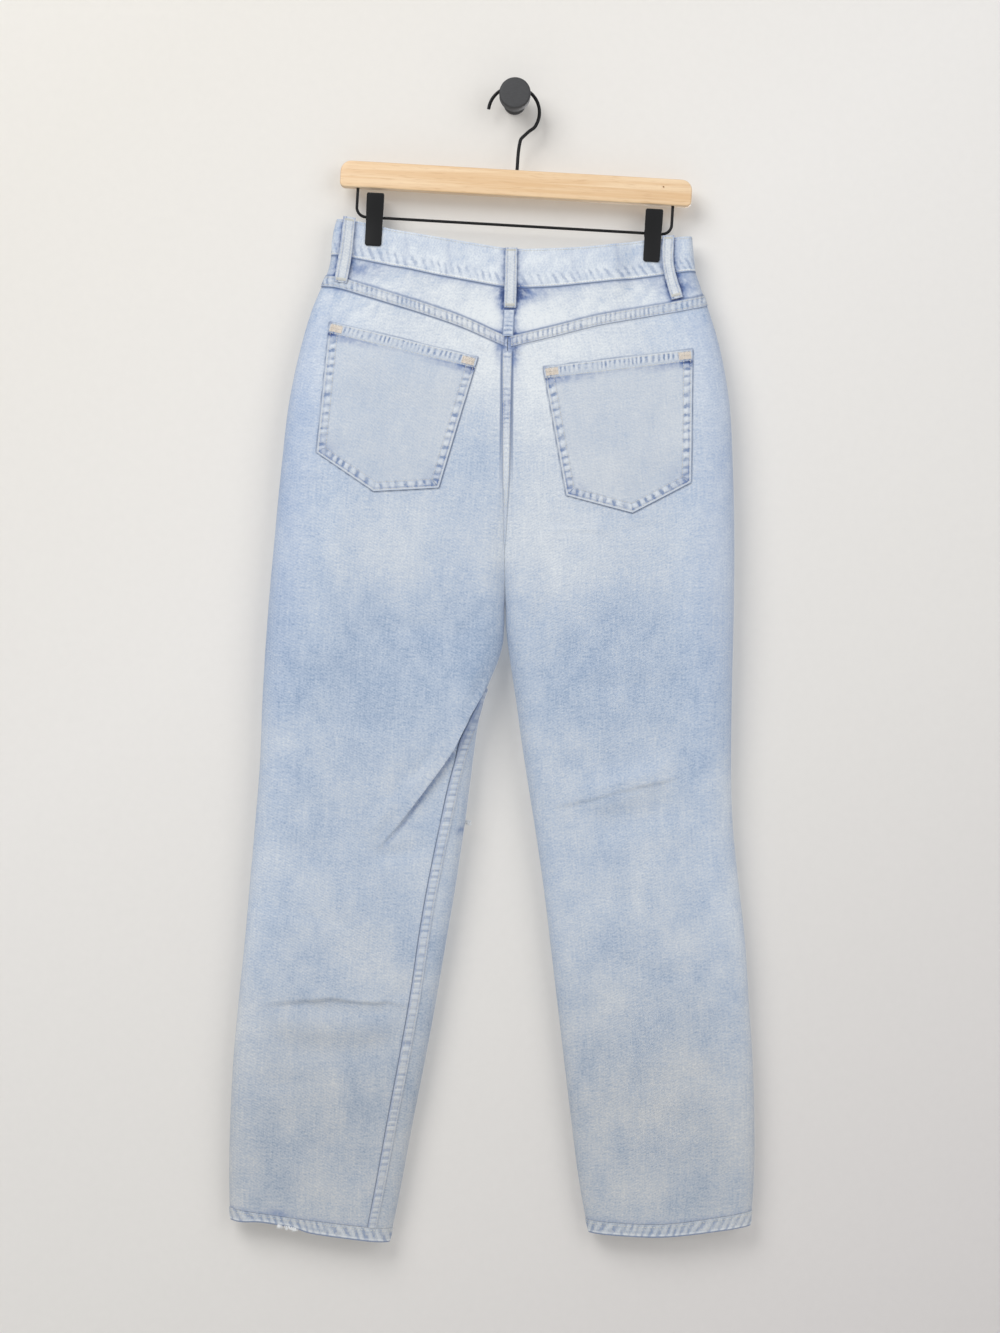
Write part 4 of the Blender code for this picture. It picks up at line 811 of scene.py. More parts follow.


# %% [markdown]
# ## Light wash denim
# Denim is a cotton twill: indigo warp threads run down the leg and white weft threads show between
# them as short slubs. After a heavy wash the eye sees pale blue with fine speckle, faint streaks
# along the warp, and dark blue only in the ditches of the seams, where shade is painted in as well.
# Real threads are 0.5 mm apart, which is finer than a pixel here, so the twill is drawn 2.4 mm apart
# and the speckle 2 mm.

# %% Denim material


def denim_material(name, pitch=PUCKER_PITCH, lean=0.12, dash_from=2.5, dash_to=11, dash=0.75, wear=0.35, fade=0.45, coarse=0.62):
    made, tree, shader = new_material(name)
    math_of = lambda kind, *values: add(
        tree, "ShaderNodeMath", dict(enumerate(values)), operation=kind
    ).outputs[0]
    uv = add(tree, "ShaderNodeUVMap", uv_map="cloth").outputs[0]
    wash = add(tree, "ShaderNodeAttribute", attribute_name="wash").outputs["Fac"]
    blue = add(tree, "ShaderNodeAttribute", attribute_name="blue").outputs["Fac"]
    seam = add(tree, "ShaderNodeAttribute", attribute_name="seam").outputs["Vector"]
    parts = add(tree, "ShaderNodeSeparateXYZ", {0: seam})
    along, off, strength = (parts.outputs[i] for i in range(3))

    def noise(scale, stretch_u, stretch_v, detail=2, rough=0.5):
        scaled = add(tree, "ShaderNodeMapping", {"Vector": uv, "Scale": (scale * stretch_u, scale * stretch_v, 1)})
        found = add(tree, "ShaderNodeTexNoise", {"Vector": scaled.outputs[0], "Scale": 1, "Detail": detail, "Roughness": rough})
        return found.outputs[0]

    def eased(value, low, high, to_low=0, to_high=1):
        inputs = {0: value, 1: low, 2: high, 3: to_low, 4: to_high}
        return add(tree, "ShaderNodeMapRange", inputs, interpolation_type="SMOOTHSTEP").outputs[0]

    # Scales are threads or slubs to the metre.
    speckle = noise(480, 1, 1, 3, 0.7)
    warp = noise(420, 1, 0.06, 2, 0.6)
    slub = noise(430, 0.22, 1, 2, 0.6)
    cloud = noise(60, 1, 0.8, 3, 0.6)
    turned = add(tree, "ShaderNodeMapping", {"Vector": uv, "Rotation": (0, 0, math.radians(-27))}).outputs[0]
    twill = add(tree, "ShaderNodeTexWave", {"Vector": turned, "Scale": 130, "Distortion": 1.2, "Detail": 1}, bands_direction="Y").outputs[1]
    grain = math_of("ADD", math_of("MULTIPLY", math_of("SUBTRACT", speckle, 0.5), 1.9), math_of("MULTIPLY", math_of("SUBTRACT", warp, 0.5), 0.55))
    grain = math_of("ADD", grain, math_of("MULTIPLY", math_of("SUBTRACT", slub, 0.5), 0.7))
    grain = math_of("ADD", grain, math_of("MULTIPLY", math_of("SUBTRACT", cloud, 0.5), 0.62))
    grain = math_of("ADD", grain, math_of("MULTIPLY", math_of("SUBTRACT", twill, 0.5), 0.10))
    level = math_of("ADD", wash, math_of("MULTIPLY", grain, coarse))

    dye = add(tree, "ShaderNodeValToRGB", {0: level})
    ramp = dye.color_ramp
    ramp.elements[0].position, ramp.elements[0].color = 0, rgba("#93A7C2")
    ramp.elements[1].position, ramp.elements[1].color = 1, rgba("#E2E7EA")
    for position, colour in ((0.3, "#B3C1D4"), (0.6, "#CAD2DC")):
        ramp.elements.new(position).color = rgba(colour)

    def blend(share, below, above, kind="MIX"):
        return add(tree, "ShaderNodeMix", {0: share, 6: below, 7: above}, data_type="RGBA", blend_type=kind).outputs[2]

    colour = blend(math_of("MULTIPLY", blue, 0.44), dye.outputs[0], rgba("#D3DFF6"), "MULTIPLY")
    colour = blend(math_of("MULTIPLY", blue, -1), colour, rgba("#F6F0E8"), "MULTIPLY")

    # The same wave as the one that moves the points, so light and dye agree.
    phase = math_of("MULTIPLY_ADD", along, 2 * math.pi / pitch, math_of("MULTIPLY", off, lean))
    phase = math_of("MULTIPLY_ADD", math_of("SINE", math_of("MULTIPLY", along, 0.055)), 2.2, phase)
    phase = math_of("MULTIPLY_ADD", math_of("SINE", math_of("MULTIPLY_ADD", along, 0.131, 1.3)), 1.3, phase)
    stray = math_of("MULTIPLY", math_of("SUBTRACT", noise(300, 1, 1, 2, 0.6), 0.5), 2.6)
    wave = math_of("ADD", math_of("SINE", phase), stray)
    distance = math_of("ABSOLUTE", off)
    inside = math_of("MULTIPLY", eased(distance, dash_from - 1, dash_from + 1.2), eased(distance, dash_to - 3.5, dash_to + 1, 1, 0))
    patchy = eased(noise(85, 1, 1, 2, 0.6), 0.38, 0.60, 0.25, 1)
    ladder = math_of("MULTIPLY", math_of("MULTIPLY", inside, strength), patchy)
    dark = math_of("MULTIPLY", ladder, eased(wave, -0.05, -0.85, 0, dash))
    light = math_of("MULTIPLY", ladder, eased(wave, 0, 0.9, 0, fade))
    # Beside a seam's raised edge the cloth is darker: dye kept in the ditch, and painted shade at the edge.
    ditch_dye_and_shade = math_of("MULTIPLY", eased(distance, 0.2, 2.2, 0.8, 0), math_of("MINIMUM", math_of("MULTIPLY", strength, 8), 1))
    worn = math_of("MULTIPLY", math_of("MULTIPLY", eased(distance, 0.9, 1.8), eased(distance, 2, 4.2, 1, 0)), math_of("MULTIPLY", strength, wear))
    colour = blend(worn, colour, rgba("#EDF1F3"))
    colour = blend(light, colour, rgba("#E6EBF0"))
    colour = blend(dark, colour, rgba("#7387AB"))
    colour = blend(ditch_dye_and_shade, colour, rgba("#66789A"))
    # One channel carries kept dye and painted shade: it darkens the cloth where the wash left dye, and also where shade
    # is painted in, as beside the thigh tuck, above each hem, under the knee tuft and at the top of the inner leg lap.
    dye_and_shade = add(tree, "ShaderNodeAttribute", attribute_name="dye_and_painted_shade").outputs["Fac"]
    streaks = eased(noise(150, 1, 0.7, 2, 0.6), 0.30, 0.68, 0.35, 1)
    colour = blend(math_of("MULTIPLY", dye_and_shade, streaks), colour, rgba("#647BA9"))
    colour = blend(math_of("MULTIPLY", eased(dye_and_shade, 0.8, 1.5), streaks), colour, rgba("#3F4D78"))
    tree.links.new(colour, shader.inputs["Base Color"])

    weave = math_of("MULTIPLY_ADD", speckle, 0.5, math_of("MULTIPLY", warp, 0.3))
    weave = math_of("MULTIPLY_ADD", twill, 0.25, math_of("MULTIPLY_ADD", slub, 0.25, weave))
    relief = math_of("MULTIPLY_ADD", math_of("MULTIPLY", wave, ladder), 0.8, weave)
    bump = add(tree, "ShaderNodeBump", {"Height": relief, "Strength": 0.55, "Distance": 0.0006})
    tree.links.new(bump.outputs[0], shader.inputs["Normal"])
    shader.inputs["Roughness"].default_value = 0.92
    shader.inputs["Specular IOR Level"].default_value = 0.22
    shader.inputs["Sheen Weight"].default_value = 0.10
    shader.inputs["Sheen Roughness"].default_value = 0.5
    return made


DENIM = denim_material("light wash denim twill")
FELLED = denim_material("light wash denim, felled seam", pitch=5.2, dash_from=1.6, dash_to=12, dash=0.7, wear=0.3, fade=0.3)
BANDED = denim_material("light wash denim, folded band", pitch=8.2, lean=0.35, dash_to=15, dash=0.45, wear=0.9, fade=0.3)
ROPED = denim_material("light wash denim, roped hem", pitch=8.6, lean=0.42, dash_from=0.8, dash_to=14, dash=0.6, wear=0.5, fade=0.25)
PATCH = denim_material("light wash denim, patch pocket", dash=0.85, coarse=0.42)
print("denim finishes:", DENIM.name, "/", FELLED.name, "/", ROPED.name)

# %% [markdown]
# ## Sewing a grid of points into cloth
# A piece of cloth is one closed wall: an outer grid, an inner grid one cloth thickness under it, and
# a rim that joins them. The finished mesh carries its own map, in metres along and across the
# threads, so the weave follows the piece wherever it turns.

# %% Closed walls


def sew(name, outer, inner, finish, uv, wash, seam, blue=0, dye_and_shade=0):
    """A closed piece of cloth from two grids of points in millimetres."""
    rows, columns = outer.shape[:2]
    index = np.arange(rows * columns).reshape(rows, columns)
    over = np.stack([index[:-1, :-1], index[:-1, 1:], index[1:, 1:], index[1:, :-1]], -1).reshape(-1, 4)
    second = rows * columns
    rim = np.concatenate([index[0], index[1:, -1], index[-1, -2::-1], index[-2:0:-1, 0]])
    after = np.roll(rim, -1)
    faces = np.concatenate([over, over[:, ::-1] + second, np.stack([after, rim, rim + second, after + second], -1)])
    r, c = rows // 2, columns // 2
    face_normal = np.cross(outer[r, c] - outer[r - 1, c], outer[r, c] - outer[r, c - 1])
    if face_normal @ (outer[r, c] - inner[r, c]) > 0:
        faces = faces[:, ::-1]
    points = np.concatenate([outer.reshape(-1, 3), inner.reshape(-1, 3)]) * MM
    mesh = bpy.data.meshes.new(name)
    mesh.from_pydata(points.tolist(), [], faces.tolist())
    mesh.materials.append(finish)
    shape = (rows, columns)
    flat = lambda value: np.broadcast_to(value, shape).reshape(-1)
    inside = np.ones(second)
    values = {
        "wash": np.concatenate([flat(wash), 1.05 * inside]),
        "blue": np.concatenate([flat(blue), 0 * inside]),
        "dye_and_painted_shade": np.concatenate([flat(dye_and_shade), 0 * inside]),
    }
    for label, value in values.items():
        mesh.attributes.new(label, "FLOAT", "POINT").data.foreach_set("value", value.astype(np.float32))
    vectors = np.stack([flat(v) for v in seam], -1)
    vectors = np.concatenate([vectors, vectors * [1, 1, 0]]).astype(np.float32)
    mesh.attributes.new("seam", "FLOAT_VECTOR", "POINT").data.foreach_set("vector", vectors.ravel())
    pairs = np.stack([flat(v) for v in uv], -1)
    pairs = np.concatenate([pairs, pairs]) * MM
    corner_points = np.empty(len(mesh.loops), np.int32)
    mesh.loops.foreach_get("vertex_index", corner_points)
    mesh.uv_layers.new(name="cloth").data.foreach_set("uv", pairs[corner_points].astype(np.float32).ravel())
    mesh.shade_smooth()
    mesh.set_sharp_from_angle(angle=math.radians(55))
    made = bpy.data.objects.new(name, mesh)
    bpy.context.scene.collection.objects.link(made)
    return made


pieces_made = {}


def keep(made, node, slot="denim"):
    """Attaches a finished piece to the body, hides the CAD node that it stands for, and keeps it by that node's name.
    """
    finish_piece(made, slot, node)
    pieces_made[node] = made
    print(f"{made.name}: {len(made.data.polygons)} faces")
    return made


# %% Lines sewn on the back of the jeans
BACK_POCKETS = {
    # top at the left, top at the right, foot at the right, point, foot at the left, where the point is
    "left": ((-189, 231.5), (-37.8, 268.3), (-77.5, 401.9), (-143.8, 405.5), (-201.8, 366), 0.44),
    "right": ((28.6, 278.5), (181, 260.2), (179, 396.3), (119.4, 427.4), (52.1, 409.6), 0.53),
}
POCKET_BAND = 13
BELT_LOOPS = {
    # face, then (x, drop) at the top, middle and foot, and how far off the panel the foot is sewn
    "back_centre": ("back", (-3.6, 155), (-4.2, 186), (-5, 217), SEAM_GAP),
    "back_left": ("back", (-169.6, 122.6), (-173.8, 158), (-178.4, 191), 1.3),
    "back_right": ("back", (157.8, 141.4), (157.8, 172), (166.2, 207.6), 1.3),
    "front_left": ("front", (-92, 143.4), (-94, 172), (-96, 200), SEAM_GAP),
    "front_right": ("front", (84, 153.6), (86, 180), (88, 206), SEAM_GAP),
}
LOOP_WIDTH, LOOP_CLOTH, LOOP_SLACK = 12.4, 1.8, 1.4


def outline_of(label):
    top_left, top_right, foot_right, point, foot_left, _ = BACK_POCKETS[label]
    return [top_left, foot_left, point, foot_right, top_right]


def line_on(side, face, across, drop_of, below=0):
    """(x, drop) along a seam line that is given across the seat."""
    drop = drop_of(across) + below
    return np.stack([place(side, face, across, drop)[..., 0], drop], -1)


shares = np.linspace(0, 1, 16)
centre_drops = np.linspace(247, 470, 12)
# Beside these lines the panels keep dye in the seam ditch, and shade is painted there along the raised edges of the
# laps and pockets.
BACK_SEAMS = []
for side, label in ((-1, "left"), (1, "right")):
    BACK_SEAMS.append((line_on(side, "back", shares, lambda a: yoke_foot(side, a), LAP_WIDTH + 0.8), 0.14))
    BACK_SEAMS.append((outline_of(label) + [outline_of(label)[0]], 0.10))
    BACK_SEAMS.append((np.stack([CENTRE_X(centre_drops) + side * 5.6, centre_drops], -1), 0.12))
print(len(BACK_SEAMS), "seam lines under which the panels keep their dye")


def nearest_seam(x, drop, lines):
    """(along, off, strength) of the seam that lies nearest to each point."""
    best = np.full(np.shape(x), 1e9)
    found = [np.zeros(np.shape(x)), np.full(np.shape(x), 99), np.zeros(np.shape(x))]
    for i, (line, strength) in enumerate(lines):
        along, off = along_line(x, drop, line)
        nearer = np.abs(off) < best
        best = np.where(nearer, np.abs(off), best)
        for k, value in enumerate((along + 137 * i, np.abs(off), strength)):
            found[k] = np.where(nearer, value, found[k])
    return found


KEPT_SPOTS = [
    # x, drop, half width, half height, how much: by the centre loop, and where the yoke laps meet
    (5.6, 202, 7, 12, 0.7),
    (-15.6, 205, 4.5, 14, 0.7),
    (-6.5, 243, 15, 5, 0.7),
    (-16, 258, 5, 12, 0.8),
    (2.5, 259, 4, 11, 0.7),
]


def dye_and_shade_by_loops(x, drop):
    """Dye kept beside the belt loops, and in a pool by each loop's foot that the fold covered; beside the loops it also
    stands for painted shade that the loops cast.
    """
    total = np.zeros(np.shape(x))
    for face, top, middle, foot, _ in BELT_LOOPS.values():
        if face == "back":
            _, off = along_line(x, drop, [top, middle, foot])
            total = total + 1.1 * np.exp(-((np.maximum(np.abs(off) - 4, 0) / 5) ** 2))
            beside = 2 if foot[0] > 100 else 16
            total = total + 0.7 * pool(x, drop, foot[0] + beside, foot[1] - 14, 25, 9)
    for at_x, at_drop, half_wide, half_tall, much in KEPT_SPOTS:
        total = total + much * pool(x, drop, at_x, at_drop, half_wide, half_tall)
    beside_centre = np.exp(-((np.maximum(np.abs(x + 5.5) - 5, 0) / 3.4) ** 2)) * step((drop - 205) / 12)
    return np.minimum(total + 0.75 * beside_centre * step((300 - drop) / 30), 1.3)


# %% [markdown]
# ## The four leg panels
# Each leg is a wide back panel and a narrower front one, joined down the side and the inner leg. The
# grid has a point about every 3 mm on the back, which shows, and every 4 mm on the front.

# %% The knee rip
RIP_X, RIP_DROP, RIP_HALF_LENGTH, RIP_HALF_GAP, RIP_BEND = -92, 747, 41, 6.5, 2.5


def cut_knee_rip(front):
    """A worn slit through the left knee, with its edges bleached, and a small painted shadow below the tuft at the
    leg's inner edge.
    """
    turn = np.linspace(0, 2 * math.pi, 49)[:-1]
    x = RIP_X + RIP_HALF_LENGTH * np.cos(turn)
    rise = RIP_BEND * np.cos(2 * turn) + RIP_HALF_GAP * np.sin(turn) ** 3
    shell = bmesh.new()
    ends = [[shell.verts.new((a * MM, y * MM, (r - RIP_DROP) * MM)) for a, r in zip(x, rise)] for y in (MIDDLE(RIP_DROP) + 2, 20)]
    shell.faces.new(ends[0])
    shell.faces.new(ends[1][::-1])
    for i in range(48):
        shell.faces.new((ends[0][i], ends[0][i - 1], ends[1][i - 1], ends[1][i]))
    bmesh.ops.recalc_face_normals(shell, faces=shell.faces)
    cutter = from_shell("knee_rip_cutter", shell, DENIM)
    drilled(front, [cutter])
    places = np.empty(len(front.data.vertices) * 3, np.float32)
    front.data.vertices.foreach_get("co", places)
    at_x, at_y, at_drop = places.reshape(-1, 3).T / MM * [[1], [1], [-1]]
    _, off = along_line(at_x, at_drop, np.stack([x, RIP_DROP - rise], -1))
    worn = 0.8 * np.exp(-((off / 7) ** 2)) * step((at_y - MIDDLE(at_drop)) / 6)
    # The spot at x -55 mm is a painted shadow: a small dark mark at the leg's inner edge, below the tuft of loose weft.
    values = {"wash": wash_at("front", -1, at_x, at_drop) + worn, "blue": blue_at(-1, at_x, at_drop), "dye_and_painted_shade": 0.9 * pool(at_x, at_drop, -55, 751.5, 5, 3) * step((MIDDLE(at_drop) + 3 - at_y) / 3)}
    for label, value in values.items():
        front.data.attributes[label].data.foreach_set("value", value.astype(np.float32))
    far = np.tile(np.array([0, 99, 0], np.float32), len(at_x))
    front.data.attributes["seam"].data.foreach_set("vector", far)


# %% Leg panels


def crowded(count, spots):
    """Steps from 0 to 1 that lie closer together round the given (share, half width) spots."""
    t = np.linspace(0, 1, 500)
    crowd = np.ones(500) + sum(1.3 * np.exp(-(((t - at) / half) ** 2)) for at, half in spots)
    grown = np.cumsum(crowd) - crowd[0]
    return np.interp(np.linspace(0, 1, count), grown / grown[-1], t)


# Shares of the way across and down a back panel at which its folds are.
FOLD_SPOTS = {-1: ([(0.84, 0.18)], [(0.51, 0.10), (0.755, 0.02)]), 1: ([], [(0.52, 0.03), (0.23, 0.02)])}


def panel(side, face, columns, row_mm):
    gap = SEAM_GAP / 2 / 220
    spots = FOLD_SPOTS[side] if face == "back" else ([], [])
    across = np.clip(crowded(columns, spots[0]), gap, 1 - gap)
    top = (yoke_foot(side, across) if face == "back" else pocket_mouth(side, across)) + SEAM_GAP / 2
    foot = hem_drop(side, face, across, 1) - SEAM_GAP / 2
    down = crowded(int((foot - top).max() / row_mm), spots[1])[:, None]
    drop = top + down * (foot - top)
    across = np.broadcast_to(across, drop.shape)
    outer, inner = place(side, face, across, drop), place(side, face, across, drop, -CLOTH)
    x = outer[..., 0]
    start, end = seam_to_seam(side, face, drop)
    run = start + across * (end - start)
    seam = nearest_seam(x, drop, BACK_SEAMS) if face == "back" else (0, 99, 0)
    if face == "back":
        seam[2] = np.where(np.abs(x + 9) < 12, seam[2] * step((450 - drop) / 130), seam[2])
    # Painted shade: a thin dark line on the panel just above the hem's top edge.
    dye_and_shade = 0.4 * np.exp(-(((foot - drop) / 2.4) ** 2))
    if face == "back":
        dye_and_shade = dye_and_shade + dye_and_shade_by_loops(x, drop)
    if (side, face) == (-1, "back"):
        dye_and_shade = dye_and_shade + 0.7 * pool(x, drop, WORN_HEM_X + 3, 1143, 10, 3)
        # Painted shadow: a dark line on the cloth just past the tuck's edge, where the leaning flap shades it.
        tuck_at, off = along_line(x, drop, TUCK_LINE)
        dye_and_shade = dye_and_shade + 0.8 * np.exp(-(((off - 3.9) / 1.5) ** 2)) * np.minimum(np.interp(tuck_at, TUCK_ALONG, TUCK_HEIGHT) / 5, 1)
    label = "left" if side < 0 else "right"
    cloth = sew(f"{face}_panel_{label}", outer, inner, DENIM, (run, drop), wash_at(face, side, x, drop), seam, blue_at(side, x, drop), dye_and_shade)
    if (side, face) == (-1, "front"):
        cut_knee_rip(cloth)
    return keep(cloth, f"{face}_{label}")


for side in (-1, 1):
    panel(side, "back", 112 if side < 0 else 92, 3)
    panel(side, "front", 62, 4)

# %% [markdown]
# ## Yokes and waistband
# The yoke is the wedge under the waistband that gives the seat its curve. The waistband is one strip
# folded double, so it is fuller in the middle than at its edges, and its foot puckers where the
# shrunk thread draws it in.

# %% Yokes


def yoke(side):
    across = np.clip(np.linspace(0, 1, 92), 0.0007, 0.9993)
    high = band_foot(side, "back", across) + SEAM_GAP / 2
    low = yoke_foot(side, across) - SEAM_GAP / 2
    down = np.linspace(0, 1, 22)[:, None]
    drop = high + down * (low - high)
    across = np.broadcast_to(across, drop.shape)
    outer, inner = place(side, "back", across, drop), place(side, "back", across, drop, -CLOTH)
    x = outer[..., 0]
    start, end = seam_to_seam(side, "back", drop)
    run = start + across * (end - start)
    near_top = drop - high
    near_foot = low - drop
    off = np.minimum(near_top, near_foot)
    dye_and_shade = dye_and_shade_by_loops(x, drop) + 0.35 * np.exp(-((near_top / 5) ** 2))
    dye_and_shade = np.minimum(dye_and_shade + 0.45 * np.exp(-((near_foot / 2) ** 2)), 1.3)
    wash = wash_at("back", side, x, drop) + 0.14
    seam = (run, off, 0.065 + 0.055 * np.exp(-(((x + 5) / 60) ** 2)))
    label = "left" if side < 0 else "right"
    keep(sew(f"yoke_cloth_{label}", outer, inner, DENIM, (run, drop), wash, seam, blue_at(side, x, drop), dye_and_shade), f"yoke_{label}")


yoke(-1)
yoke(1)

# %% Waistband
BAND_LAP, BAND_LAP_GAP = (1.13, 1), 0.4


def band_grid():
    """across, drop and lift of the waistband from its left end at the front round to its right end."""
    runs = [
        (-1, "front", np.concatenate([np.linspace(*BAND_LAP, 13)[:-1], np.linspace(1, 0, 92)])),
        (-1, "back", np.linspace(0, 1, 96)[1:]),
        (1, "back", np.linspace(1, 0, 96)[1:]),
        (1, "front", np.linspace(0, 0.995, 92)[1:]),
    ]
    down = np.linspace(0, 1, 20)[:, None]
    outer, inner, seams, washes, dye_and_shade_rows, gone = [], [], [], [], [], 0
    for side, face, across in runs:
        high = band_top(side, face, across)
        low = band_foot(side, face, across) - SEAM_GAP / 2
        drop = high + down * (low - high)
        across = np.broadcast_to(across, drop.shape)
        middle = place(side, face, across[:1], drop[:1])
        along = gone + np.concatenate([[0], np.cumsum(np.linalg.norm(np.diff(middle[0], axis=0), axis=1))])
        gone = along[-1]
        lap = (BAND_CLOTH + BAND_LAP_GAP) * step((across - 0.87) / 0.1) if (side, face) == (-1, "front") else 0
        from_foot = (1 - down) * (low - high)
        held = step((from_foot - 1) / 3) * step((20 - from_foot) / 9)
        full = 0.7 * np.sin(math.pi * down) ** 0.6 - 0.35 * np.exp(-(((from_foot - 2) / 1.4) ** 2))
        ripple = 0.7 * pucker(along + 0 * drop, from_foot, 8.2, 0.35) + 0.5 * pucker(along + 0.6 * from_foot, from_foot, 13.3, -0.1)
        x = middle[..., 0]
        creases = sum(np.exp(-(((x + 0.12 * from_foot - at) / 2.4) ** 2)) for at in (-107, -64, 62, 108))
        lift = BAND_PROUD - 0.3 + lap + full + 0.42 * held * ripple - 0.55 * creases * np.sin(math.pi * down)
        outer.append(place(side, face, across, drop, lift))
        inner.append(place(side, face, across, drop, lift - full - BAND_CLOTH + 0.3))
        x = outer[-1][..., 0]
        seams.append((np.broadcast_to(along, drop.shape), np.broadcast_to(from_foot, drop.shape), np.ones(drop.shape)))
        washes.append(wash_at("back", side, x, drop) + 0.19)
        # The creases are darker: dye kept in the fold, and painted shade in the dent.
        dye_and_shade_rows.append(np.minimum(1.05 * dye_and_shade_by_loops(x, drop) + 0.22 * creases, 1.3) if face == "back" else np.zeros(drop.shape))
    join = lambda parts: np.concatenate(parts, 1)
    seam = [join([s[k] for s in seams]) for k in range(3)]
    return join(outer), join(inner), seam, join(washes), join(dye_and_shade_rows)


outer, inner, seam, wash, dye_and_shade = band_grid()
band = keep(sew("waistband_cloth", outer, inner, BANDED, (seam[1], seam[0]), wash, seam, 0.15, dye_and_shade), "waistband")
print("waistband", round(float(seam[0][0, -1])), "mm round")

# %% [markdown]
# ## Hems
# Each leg ends in a hem turned up twice. Stitched through four layers and washed, it twists into the
# slanting ridges that makers call roping, and its edge wears white.

# %% Hems


def hem(side):
    outer, inner, gone, seams, xs, drops = [], [], 0, [], [], []
    for face, order in (("back", 1), ("front", -1)):
        across = np.linspace(0, 1, 100)[::order]
        across = np.clip(across, 0.0006, 0.9994)
        across = across if face == "back" else across[1:]
        high = hem_drop(side, face, across, 1) + SEAM_GAP / 2
        low = hem_drop(side, face, across, 2)
        down = np.linspace(0, 1, 9)[:, None]
        drop = high + down * (low - high)
        across = np.broadcast_to(across, drop.shape)
        middle = place(side, face, across[:1], drop[:1])
        along = gone + np.concatenate([[0], np.cumsum(np.linalg.norm(np.diff(middle[0], axis=0), axis=1))])
        gone = along[-1]
        along = np.broadcast_to(along, drop.shape)
        from_foot = (1 - down) * (low - high)
        roping = pucker(along, from_foot, 8.6, 0.42) * step(from_foot / 3 + 0.35)
        lift = HEM_PROUD + 0.35 * roping - 0.5 * step(1 - from_foot / 2)
        outer.append(place(side, face, across, drop, lift))
        inner.append(place(side, face, across, drop, HEM_PROUD - HEM_CLOTH + 0.4 * step(1 - from_foot / 2)))
        seams.append((along, np.broadcast_to(from_foot, drop.shape), np.full(drop.shape, 0.95)))
        xs.append(outer[-1][..., 0])
        drops.append(drop)
    join = lambda parts: np.concatenate(parts, 1)
    seam = [join([s[k] for s in seams]) for k in range(3)]
    x, drop = join(xs), join(drops)
    wash = wash_at("back", side, x, drop) + 0.04
    label = "left" if side < 0 else "right"
    keep(sew(f"hem_cloth_{label}", join(outer), join(inner), ROPED, (seam[1], seam[0]), wash, seam, blue_at(side, x, drop)), f"hem_{label}")


hem(-1)
hem(1)

# %% [markdown]
# ## Patch pockets
# A back pocket is a five sided patch with its edges pressed under and stitched down twice, 7 mm
# apart. Its top is hemmed first. Between the two rows of stitches the cloth shrinks more slowly than
# the thread, so it rises in short ridges whose tops fade and whose ditches stay dark.

# %% Back pockets


def lay(name, node, face, x, drop, under, thick, finish, wash, seam, blue=0, dye_and_shade=0, uv=None):
    """A piece that lies on the back or the front, from the x and drop of its grid."""
    outer, inner = on_face(face, x, drop, under + thick), on_face(face, x, drop, under)
    return keep(sew(name, outer, inner, finish, uv or (x, drop), wash, seam, blue, dye_and_shade), node)


EDGE_ROW, INNER_ROW, BAND_ROW = 1.8, 9, 11.4


def groove(off, at, wide=1.1):
    """The dip that a row of stitches pulls into the cloth."""
    return np.exp(-(((off - at) / wide) ** 2))


def pocket_heights(label, x, drop):
    """Under face, thickness and seam values of a pocket at each place on it."""
    outline = outline_of(label)
    along, off = along_line(x, drop, outline)
    along_top, off_top = along_line(x, drop, [outline[0], outline[-1]])
    off, off_top = np.abs(off), np.abs(off_top)
    in_band = step((POCKET_BAND + 1.2 - off_top) / 2.4)
    turned_in = step((INNER_ROW + 2.5 - off) / 3) * (1 - in_band)
    ladder = turned_in * step((off - 2.2) / 2)
    thick = PATCH_CLOTH + 0.7 * in_band + 0.4 * turned_in
    thick = thick - 0.45 * groove(off, EDGE_ROW) - 0.4 * groove(off, INNER_ROW) * (1 - in_band)
    thick = thick - 0.4 * groove(off_top, BAND_ROW) - 0.3 * groove(off_top, EDGE_ROW)
    thick = thick + 0.38 * ladder * pucker(along * 0.84, off)
    thick = thick + 0.30 * in_band * step(off_top / 3) * pucker(along_top * 1.45, off_top, lean=0.3)
    rest = np.minimum(off, off_top)
    under = SEAM_GAP + 1.2 * step(rest / 55)
    seam = (
        np.where(in_band > 0.5, along_top * 1.45, along * 0.84),
        np.where(in_band > 0.5, np.minimum(off_top, off), off) + 1,
        1,
    )
    return under, np.maximum(thick, 0.55), seam, off, off_top


